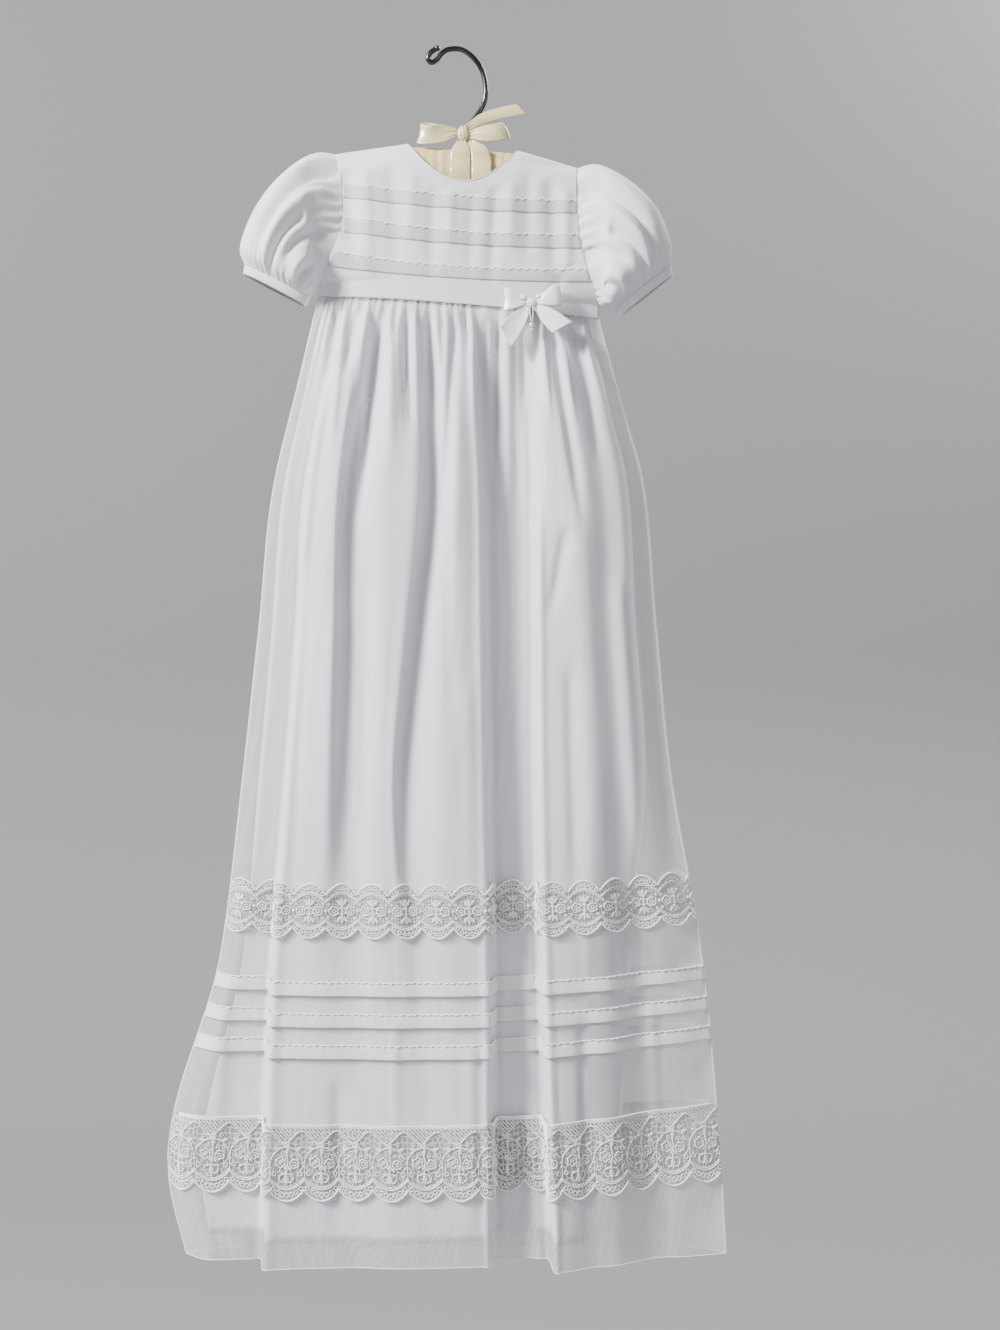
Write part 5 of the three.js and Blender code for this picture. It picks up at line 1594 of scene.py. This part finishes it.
class Galloon(Lace):
    """The narrow lace, scalloped on both edges, laid across the skirt at the knee."""

    name, repeat, origin, level = "narrow_lace", GALLOON_REPEAT, GALLOON_MIDDLE, GALLOON_MIDDLE
    first, inset, width, cover = -1.0, 0.45, 0.042, 0.0365

    def reach(self, length: Array) -> Array:
        """Half of the lace's height at a length along it."""
        return GALLOON_VALLEY + (GALLOON_PEAK - GALLOON_VALLEY) * wave_of(length, self.repeat)

    def rib(self, length: Array) -> Array:
        """How far the inner rib lies from the middle at a length along it."""
        return 7.6 + 6.6 * wave_of(length, self.repeat) ** 1.15

    def chart(self) -> list[Stroke]:
        """One repeat, from valley to valley: ribs, eyelets, buds, ring flowers and stems."""
        wide = GALLOON_REPEAT
        strokes: list[Stroke] = []
        s = np.linspace(0, wide, 25)
        rib = self.rib(s)
        for hand in (-1, 1):
            strokes.append((s, hand * (self.reach(s) - 0.5), 0.62))
            strokes.append((s, hand * rib, 0.42))
            strokes.append((s[::2], hand * (rib[::2] - 1.3), 0.32))
            strokes += self.eyelets(6, 0.045, 1.35, 0.34, hand)
            bud = (wide / 2, hand * 8.9)
            strokes += leaf((wide / 2, hand * 4.6), bud, 1.5)
            for way in (-1, 1):
                strokes += leaf((wide / 2 + way * 0.6, hand * 4.4),
                                (wide / 2 + way * 3.8, hand * 8.2), 0.9)
            strokes.append(stem([(wide / 2, hand * 4.6), (wide / 2 + 0.4, hand * 2.2),
                                 (wide / 2, 0)], 0.45, 4))
            for way in (-1, 1):
                points = [(wide / 2 + way * across, hand * up)
                          for across, up in ((5.6, 3.2), (3.2, 1.6), (0.4, 2.4))]
                strokes.append(stem(points, 0.36, 5))
        for centre in (5.9, wide - 5.9):
            strokes.append(blossom((centre, 0), 3.3, 5, 0.42))
            strokes.append(ring((centre, 0), 1.35, 0.34, 8))
        strokes.append(ring((0.05, 0.0), 0.62, 0.6, 6))
        for hand in (-1, 1):
            strokes.append(ring((2.1, hand * 5.2), 0.8, 0.32, 6))
            strokes.append(ring((wide - 2.1, hand * 5.2), 0.8, 0.32, 6))
        return strokes


class Edging(Lace):
    """The wide lace along the hem: tape, hatched band, flowers and a scalloped foot."""

    name, repeat, origin = "wide_lace", EDGING_REPEAT, EDGING_TOP
    level = EDGING_TOP + EDGING_VALLEY
    first, inset, width, cover = 0.0, 0.5, 0.0575, 0.0545

    def reach(self, length: Array) -> Array:
        """The lace's height at a length along it."""
        return EDGING_VALLEY + (EDGING_PEAK - EDGING_VALLEY) * wave_of(length, self.repeat)

    def rib(self, length: Array) -> Array:
        """How far down the rib above the scalloped foot lies at a length along it."""
        return self.reach(length) - 7.8 - 1.2 * wave_of(length, self.repeat)

    def wavy(self, length: Array) -> Array:
        """How far down the wavy rib under the hatched band lies at a length along it."""
        return 9.6 - 4.6 * np.cos(2 * np.pi * length / self.repeat + 0.5)

    def hatching(self, count: int = 9, slope: float = 1.05) -> list[Stroke]:
        """Slanting threads between the tape and the wavy rib under it."""
        strokes: list[Stroke] = []
        for k in range(count):
            start = self.repeat * k / count
            end = start
            while end < start + 14 and self.wavy(np.array(end)) > 3 + (end - start) * slope:
                end += 0.3
            if end > start + 1.2:
                s = np.linspace(start, end, 3)
                strokes.append((s, 2.6 + (s - start) * slope, 0.42))
        return strokes

    def chart(self) -> list[Stroke]:
        """One repeat, from valley to valley."""
        wide = EDGING_REPEAT
        s = np.linspace(0, wide, 25)
        strokes: list[Stroke] = [
            *((s[::6], np.full(5, down), thread)
              for down, thread in ((0.5, 0.55), (1.5, 0.5), (2.5, 0.4))),
            (s, self.reach(s) - 0.5, 0.66), (s, self.wavy(s), 0.42), *self.hatching(),
            (s, self.rib(s), 0.46), (s[::2], self.rib(s)[::2] - 1.4, 0.32),
            *self.eyelets(7, 0.03, 1.5, 0.36),
        ]
        strokes.append(stem([(1.5, 23.5), (7, 18.4), (14, 17.0), (20.5, 19.4), (25, 25)], 0.42, 12))
        strokes += leaf((7, 18.4), (2.6, 17.4), 1.1)
        strokes += leaf((14, 17.0), (14.6, 12.8), 1.1)
        strokes += leaf((12.8, 17.2), (10.4, 13.6), 1.0)
        strokes += leaf((20.5, 19.4), (24.2, 17.2), 1.1)
        strokes += leaf((14.2, 17.6), (13.2, 22.6), 1.2)
        strokes.append(blossom((8.2, 28.2), 3.7, 6, 0.44))
        strokes += [(np.array([5.6 + k, 8.4 + k]), np.array([30.4 - k * 0.2, 26.2 - k * 0.2]), 0.26)
                    for k in (0, 1.3, 2.6)]
        strokes.append(blossom((19.0, 29.4), 3.3, 5, 0.42))
        strokes.append(ring((19.0, 29.4), 1.3, 0.32, 7))
        strokes.append(stem([(13.2, 22.6), (13.9, 28), (13.2, 33.5), (12.6, 39.5)], 0.44, 8))
        strokes += leaf((13.6, 30), (11.4, 33.6), 0.9)
        strokes += leaf((13.8, 31), (16.6, 34.6), 0.9)
        for tip, bend in ((8.6, 1.2), (17.0, -1.2)):
            strokes.append(stem([(13.0, 36.5), (tip - bend, 38.4), (tip, 42.6),
                                 (tip + 1.6 * bend, 43.4), (13.0, 38.2)], 0.38, 10))
        strokes += leaf((13.0, 37), (13.1, 44.6), 1.3)
        strokes.append(ring((3.2, 36.6), 1.5, 0.34, 8))
        strokes.append(ring((23.4, 37.0), 1.5, 0.34, 8))
        strokes.append(stem([(0, 31), (2.6, 33.2), (3.2, 35.1)], 0.32, 4))
        strokes.append(stem([(wide, 31), (24.2, 33.4), (23.4, 35.5)], 0.32, 4))
        strokes.append(stem([(0, 41.8), (0.4, 36), (0, 31), (0.6, 26), (1.5, 23.5)], 0.34, 8))
        for place, height in ((4.4, 22.6), (21.6, 23.6), (17.2, 22.8), (5.4, 14.6), (19.4, 14.2),
                              (9.9, 21.6)):
            strokes.append(ring((place, height), 1.25, 0.24, 7))
        return strokes


# Ribbons


def ribbon_points(stops: Sequence[tuple], origin: Sequence[float], steps: int, across: int,
                  bulge: float, pleats: float) -> Array:
    """Lays a ribbon through its stops.

    Args:
        stops: The middle of the ribbon and half of its width, as vectors, stop by stop.
        origin: Where the stops are measured from.
        steps: Rows along the ribbon.
        across: Cells across the ribbon.
        bulge: How far its middle stands off the line between its edges.
        pleats: How deep the small pleats by the knot are.
    Returns:
        Rows of points.
    """
    middle = np.array([s[0] for s in stops], float) + np.array(origin)
    half = np.array([s[1] for s in stops], float)
    far = np.concatenate([[0.0], np.cumsum(np.linalg.norm(np.diff(middle, axis=0), axis=1))])
    places = np.linspace(0, far[-1], steps + 1)
    line, reach = along(middle, far, places), along(half, far, places)
    share = np.linspace(-1, 1, across + 1)
    points = line[:, None, :] + reach[:, None, :] * share[None, :, None]
    run = np.gradient(line, axis=0)
    off = np.cross(run, reach)
    off /= np.maximum(np.linalg.norm(off, axis=1, keepdims=True), 1e-6)
    close = np.exp(-(np.linspace(0, 1, steps + 1) / 0.14) ** 2)
    lift = bulge * (1 - share ** 2)[None, :] * (1 - close)[:, None]
    lift = lift + pleats * close[:, None] * np.cos(share * np.pi * 2.5)[None, :]
    return points + off[:, None, :] * lift[..., None]


@dataclass
class WaistBow:
    """The white satin bow on the waist seam, with a pearl drop."""

    finishes: Finishes
    size: tuple[float, float, float] = (4.0, 2.6, 3.4)

    def origin(self) -> tuple[float, float, float]:
        """The knot's middle."""
        low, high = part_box("bow_knot")
        centre = (low + high) / 2
        return (centre.x / MM, centre.y / MM, centre.z / MM)

    def build(self) -> None:
        """Makes the knot, loops, tails, small curls and the drop."""
        origin = self.origin()
        loops = {
            "left": [
                ((-3.6, -0.6, 0.4), (0, 0, 2.0)), ((-11, -2.6, 1), (0.4, 0, 5.6)),
                ((-18.6, -2.8, 1.6), (0.6, 0, 8.2)), ((-21.4, -0.9, 1.8), (0.6, 0, 8.6)),
                ((-18.6, 0.8, 1.6), (0.6, 0, 8)), ((-11, 1, 1), (0.4, 0, 5.4)),
                ((-3.6, 0.9, 0.4), (0, 0, 2.0)),
            ],
            "right": [
                ((3.6, -0.6, 0.8), (0, 0, 2.0)), ((11, -2.6, 2.6), (-0.8, 0, 5.4)),
                ((19, -2.8, 5), (-1.6, 0, 8.4)), ((22, -0.9, 5.8), (-1.8, 0, 8.8)),
                ((19, 0.8, 5), (-1.6, 0, 8.2)), ((11, 1, 2.6), (-0.8, 0, 5.2)),
                ((3.6, 0.9, 0.8), (0, 0, 2.0)),
            ],
        }
        tails = {
            "left": [
                ((-2.4, -0.4, -3.0), (-1.5, 0, 1.3)), ((-9.4, -2.6, -13), (-4.6, 0, 4.4)),
                ((-19.7, -5.6, -27.6), (-4.6, -0.6, 8)),
            ],
            "right": [
                ((3.0, -0.4, -2.8), (1.5, 0, 1.5)), ((12, -2.6, -10.5), (4, 0, 4.8)),
                ((23.6, -5.2, -20.4), (7.6, 0, 4.2)),
            ],
        }
        for side, stops in loops.items():
            make_ribbon(f"waist_loop_{side}", stops, origin, self.finishes.satin,
                        f"bow_loop_{side}", 1.1)
        for side, stops in tails.items():
            make_ribbon(f"waist_tail_{side}", stops, origin, self.finishes.satin,
                        f"bow_tail_{side}", 0.8)
        knot = make_knot("bow_centre", origin, self.size)
        dress(knot, self.finishes.satin, ["bow_knot"])
        self.curls(origin)
        self.drop(origin)

    def curls(self, origin: Sequence[float]) -> None:
        """The small curled loops that peep out above and below the knot."""
        for number, (side, rise) in enumerate(((-1, 5.2), (1, 6.0)), 1):
            turn = np.linspace(0.25, 2 * np.pi - 0.25, 26)
            middle = np.stack([
                origin[0] + side * (3.4 + 2.4 * (1 - np.cos(turn))),
                origin[1] - 1.0 - 1.5 * np.sin(turn),
                origin[2] + rise * 0.5 + side * 0.4 + 2.0 * np.sin(turn / 2),
            ], axis=-1)
            wide = 1.7 * np.sin(turn / 2) + 0.5
            points = np.stack([middle + np.array([0, 0, -1]) * w * wide[:, None]
                               for w in np.linspace(-1, 1, 5)], axis=1)
            curl = cut(f"waist_curl_{number}", points, self.finishes.satin,
                       thickness=CURL_CLOTH)

    def drop(self, origin: Sequence[float]) -> None:
        """The thread loop with a pearl and a bead."""
        x, y, z = origin
        front = y - 3.2
        thread = np.array([(x - 0.6, front + 0.4, z - 1.5), (x - 1.3, front - 0.5, z - 7),
                           (x, front - 0.6, z - 15.5), (x + 1.3, front - 0.5, z - 7),
                           (x + 0.6, front + 0.4, z - 1.5)])
        sew("pearl_drop_loop", [(smooth_line(thread, 20), 0.4)], self.finishes.stitch)
        for name, radius, below in (("drop_pearl", 1.9, 18.2), ("drop_bead", 1.2, 22.0)):
            bm = bmesh.new()
            bmesh.ops.create_uvsphere(bm, u_segments=28, v_segments=18, radius=radius * MM)
            bmesh.ops.translate(bm, verts=bm.verts,
                                vec=Vector((x, front - 0.7, z - below)) * MM)
            dress(object_of(name, bm), self.finishes.pearl)


def make_knot(name: str, origin: Sequence[float], size: Sequence[float]) -> bpy.types.Object:
    """A ribbon's knot: a soft rounded wrap with pleats that run over it."""
    bm = bmesh.new()
    bmesh.ops.create_uvsphere(bm, u_segments=36, v_segments=24, radius=1.0)
    for vert in bm.verts:
        x, y, z = vert.co
        pleat = 1 + 0.13 * math.cos(x * 13.0 + 1.6 * z) * (1 - abs(z)) ** 0.5
        square = 1 / max(abs(x) ** 3 + abs(z) ** 3, 0.35) ** 0.12
        square *= 1 - 0.07 * math.cos(x * 11.0 - 0.6) * z * z
        vert.co = Vector((x * size[0] * square, y * size[1] * pleat, z * size[2] * square))
    bmesh.ops.translate(bm, verts=bm.verts, vec=Vector(origin))
    bmesh.ops.scale(bm, verts=bm.verts, vec=(MM, MM, MM))
    layer = bm.loops.layers.uv.new("cloth")
    for face in bm.faces:
        for loop in face.loops:
            loop[layer].uv = (loop.vert.co.x, loop.vert.co.z)
    return object_of(name, bm)


def make_ribbon(name: str, stops: Sequence[tuple], origin: Sequence[float],
                material: bpy.types.Material, node: str, bulge: float) -> None:
    points = ribbon_points(stops, origin, 46, 14, bulge, 0.35)
    piece = cut(name, points, material, [node], RIBBON_CLOTH)


# The hanger


@dataclass
class Hanger:
    """The wire hook, the padded body and the ivory bow."""

    finishes: Finishes

    def hook(self) -> None:
        """Bends the wire and rounds its tip."""
        route = smooth_line([(x, 0.0, z) for x, z in HOOK_ROUTE], 150)
        wire = tube_mesh("hook", [(route, HOOK_WIRE / 2)], 6)
        bm = bmesh.new()
        bm.from_mesh(wire)
        bpy.data.meshes.remove(wire)
        tip = bmesh.ops.create_uvsphere(bm, u_segments=28, v_segments=18, radius=HOOK_TIP * MM)
        bmesh.ops.translate(bm, verts=tip["verts"],
                            vec=Vector((HOOK_ROUTE[0][0] + 0.6, 0, HOOK_ROUTE[0][1])) * MM)
        dress(object_of("wire_hook", bm), self.finishes.wire, ["hanger_hook"])

    def pad(self) -> None:
        """Builds the padded body with gathered puckers between its stitched lines."""
        around, lengthways = 56, 200
        turn = np.linspace(0, 2 * np.pi, around + 1)
        place = np.linspace(0, len(PAD_RINGS) - 1, lengthways + 1)
        rings = along(PAD_RINGS, np.arange(len(PAD_RINGS), dtype=float), place)
        x, high, thick, drop = rings.T
        middle = shoulder_z(x) - drop - high
        pucker = 0.42 * np.sin(x * 0.95 + 0.8 * np.sin(x * 0.21)) * (0.7 + 0.3 * np.sin(x * 0.37))
        seams = sum(np.exp(-((turn - at) / 0.05) ** 2) for at in (1.25, 1.9, 4.4, 5.0))
        swell = 1 + (pucker[:, None] * (0.35 + 0.65 * np.abs(np.sin(turn * 1.5)))[None, :]
                     - 0.55 * seams[None, :]) / np.maximum(thick, 4)[:, None]
        grid = np.stack([
            np.broadcast_to(x[:, None], (lengthways + 1, around + 1)),
            -thick[:, None] * np.sin(turn)[None, :] * swell,
            middle[:, None] + high[:, None] * np.cos(turn)[None, :] * (0.5 + 0.5 * swell),
        ], axis=-1)
        ends = []
        for row, outward in ((0, -1), (-1, 1)):
            centre = grid[row, :-1].mean(axis=0)
            ends.append([
                centre + (grid[row] - centre) * s + np.array([outward * (1 - s) * 1.2, 0, 0])
                for s in (0.002, 0.5, 0.85)])
        points = np.concatenate([np.array(ends[0]), grid, np.array(ends[1][::-1])])
        points[:, -1] = points[:, 0]
        piece = cut("padded_hanger", points, self.finishes.sateen, ["hanger_pad"],
                    closed=True)

    def bow(self) -> None:
        """Ties the ivory bow: knot, two loops, a tail that stands up and two that hang."""
        pieces = {
            "loop_left": (1.2, (0.0155, 0.07), [
                ((-4.4, -0.8, 1), (0, 0, 2.8)), ((-16, -3.2, -1), (0, 0, 6.8)),
                ((-31, -3.4, -1.8), (1.6, 0, 7.2)), ((-34.8, -0.8, 0.2), (1.4, 0, 7.4)),
                ((-31, 2.2, 2.0), (1.2, 0, 7.2)), ((-16, 1.9, 1.6), (0, 0, 5.4)),
                ((-4.4, 1.2, 1), (0, 0, 2.6))]),
            "loop_right": (1.2, (0.0155, 0.068), [
                ((4.4, -0.8, -1), (0, 0, 2.8)), ((15, -3.2, -1.4), (-0.6, 0, 6)),
                ((30, -3.4, 0.2), (-3, 0, 6.4)), ((33.6, -0.8, 1.6), (-3, 0, 6.6)),
                ((30, 2.2, 2.8), (-2.6, 0, 6.2)), ((15, 1.9, 1.2), (-0.6, 0, 4.6)),
                ((4.4, 1.2, -1), (0, 0, 2.6))]),
            "tail_up": (0.6, (0.0155, 0.05), [
                ((3.0, 0.8, 4.6), (-1.4, 0, 1.8)), ((13, 2.6, 11.6), (-1.6, 0, 3.4)),
                ((28, 2.4, 16.4), (-1.4, 0, 4.2)), ((45.4, 1.6, 19.6), (-3.8, 0, 3.8))]),
            "tail_left": (0.5, (0.0158, 0.04), [
                ((-1.4, -1, -5.6), (3, 0, 0)), ((-1.8, -6, -15), (7.2, 0, 0)),
                ((-2, -6.6, -22), (7.9, 0, 0)), ((-2, -8.8, -30), (7.9, 0.3, 0)),
                ((-2, -7.3, -44), (7.9, 0, 0))]),
            "tail_right": (0.5, (0.0155, 0.04), [
                ((4.9, 0, -5.8), (2.6, 0, 0.8)), ((12.6, -6, -15), (6.4, 0, 1)),
                ((14.2, -6.6, -22), (7.6, 0, 0)), ((14.2, -8.6, -30), (7.6, -0.3, 0)),
                ((14.2, -7.3, -44), (7.6, 0, 0))]),
        }
        for name, (bulge, flat, stops) in pieces.items():
            make_ribbon(f"ivory_{name}", stops, HOOK_BOW, self.finishes.ivory,
                        f"hanger_bow_{name}", bulge)
        knot = make_knot("ivory_knot", HOOK_BOW, (4.6, 3.4, 6.0))
        dress(knot, self.finishes.ivory, ["hanger_bow_knot"])

    def build(self) -> None:
        """Makes every piece of the hanger."""
        self.hook()
        self.pad()
        self.bow()


# The studio


@dataclass
class Studio:
    """Plain paper behind and below, soft lamps, and the camera."""

    finishes: Finishes
    wall_y: float = 2.3
    floor_z: float = -1.35
    sweep: float = 0.9
    half_width: float = 5.0
    camera_x: float = 0.0335
    camera_z: float = -0.4785
    distance: float = 1.2
    picture_height: float = 1.0374

    def paper(self) -> None:
        """Hangs the paper: a wall that curves into the floor."""
        bm = bmesh.new()
        profile = [(self.wall_y, 3.0), (self.wall_y, self.floor_z + self.sweep)]
        for t in np.linspace(0, math.pi / 2, 24)[1:]:
            profile.append((self.wall_y - self.sweep * (1 - math.cos(t)),
                            self.floor_z + self.sweep * (1 - math.sin(t))))
        profile.append((-self.half_width, self.floor_z))
        verts = [bm.verts.new((-self.half_width, y, z)) for y, z in profile]
        edges = [bm.edges.new(pair) for pair in zip(verts, verts[1:])]
        grown = bmesh.ops.extrude_edge_only(bm, edges=edges)
        moved = [g for g in grown["geom"] if isinstance(g, bmesh.types.BMVert)]
        bmesh.ops.translate(bm, verts=moved, vec=(2 * self.half_width, 0, 0))
        sweep = object_of("paper_sweep", bm)
        sweep.data.materials.append(self.finishes.paper)

    def lamp(self, name: str, at: tuple[float, float, float], size: float, power: float) -> None:
        """Hangs a soft square lamp that points at the gown."""
        data = bpy.data.lights.new(name, "AREA")
        data.size = size
        data.energy = power
        lamp = link(bpy.data.objects.new(name, data))
        lamp.location = at
        lamp.visible_camera = False
        aim = Vector((self.camera_x, 0, self.camera_z)) - Vector(at)
        lamp.rotation_euler = aim.to_track_quat("-Z", "Y").to_euler()

    def camera(self) -> None:
        """Stands the camera square to the gown, level with its middle."""
        data = bpy.data.cameras.new("camera")
        data.sensor_width = 36.0
        data.lens = 18.0 * self.distance / (self.picture_height / 2)
        data.clip_start, data.clip_end = 0.05, 30.0
        camera = link(bpy.data.objects.new("camera", data))
        camera.location = (self.camera_x, -self.distance, self.camera_z)
        camera.rotation_euler = (math.pi / 2, 0, 0)
        bpy.context.scene.camera = camera

    def build(self) -> None:
        """Sets the studio up."""
        self.paper()
        self.lamp("key", (-2.8, -1.7, 1.6), 0.8, 470)
        self.lamp("fill", (1.6, -2.3, 0.1), 1.6, 15)
        self.lamp("rear", (2.0, 1.8, 1.5), 1.4, 130)
        world = bpy.data.worlds.new("studio_air")
        world.use_nodes = True
        sky = world.node_tree.nodes["Background"]
        sky.inputs["Color"].default_value = (0.93, 0.95, 1.0, 1)
        sky.inputs["Strength"].default_value = 0.29
        bpy.context.scene.world = world
        self.camera()


def main() -> None:
    """Builds every class in order and reports each piece."""
    logging.basicConfig(level=logging.INFO, format="%(message)s")
    finishes = Finishes.make()
    makers = (
        ("bodice", Bodice(finishes)),
        ("left sleeve", Sleeve(finishes, "left", LEFT_SLEEVE, LEFT_CUFF, LEFT_EDGE,
                               SHOULDER_LEFT, UNDERARM_LEFT, -1)),
        ("right sleeve", Sleeve(finishes, "right", RIGHT_SLEEVE, RIGHT_CUFF, RIGHT_EDGE,
                                SHOULDER_RIGHT, UNDERARM_RIGHT, 1)),
        ("skirt front", Skirt(finishes, Side.FRONT, FINE_STEP)),
        ("skirt back", Skirt(finishes, Side.BACK, BACK_STEP)),
        ("waist bow", WaistBow(finishes)),
        ("hanger", Hanger(finishes)),
        ("studio", Studio(finishes)),
    )
    for name, maker in makers:
        before = set(bpy.data.objects)
        maker.build()
        for piece in set(bpy.data.objects) - before:
            faces = len(piece.data.polygons) if piece.type == "MESH" else 0
            LOG.info("%s: made %s with %d faces", name, piece.name, faces)


if __name__ == "__main__":
    main()
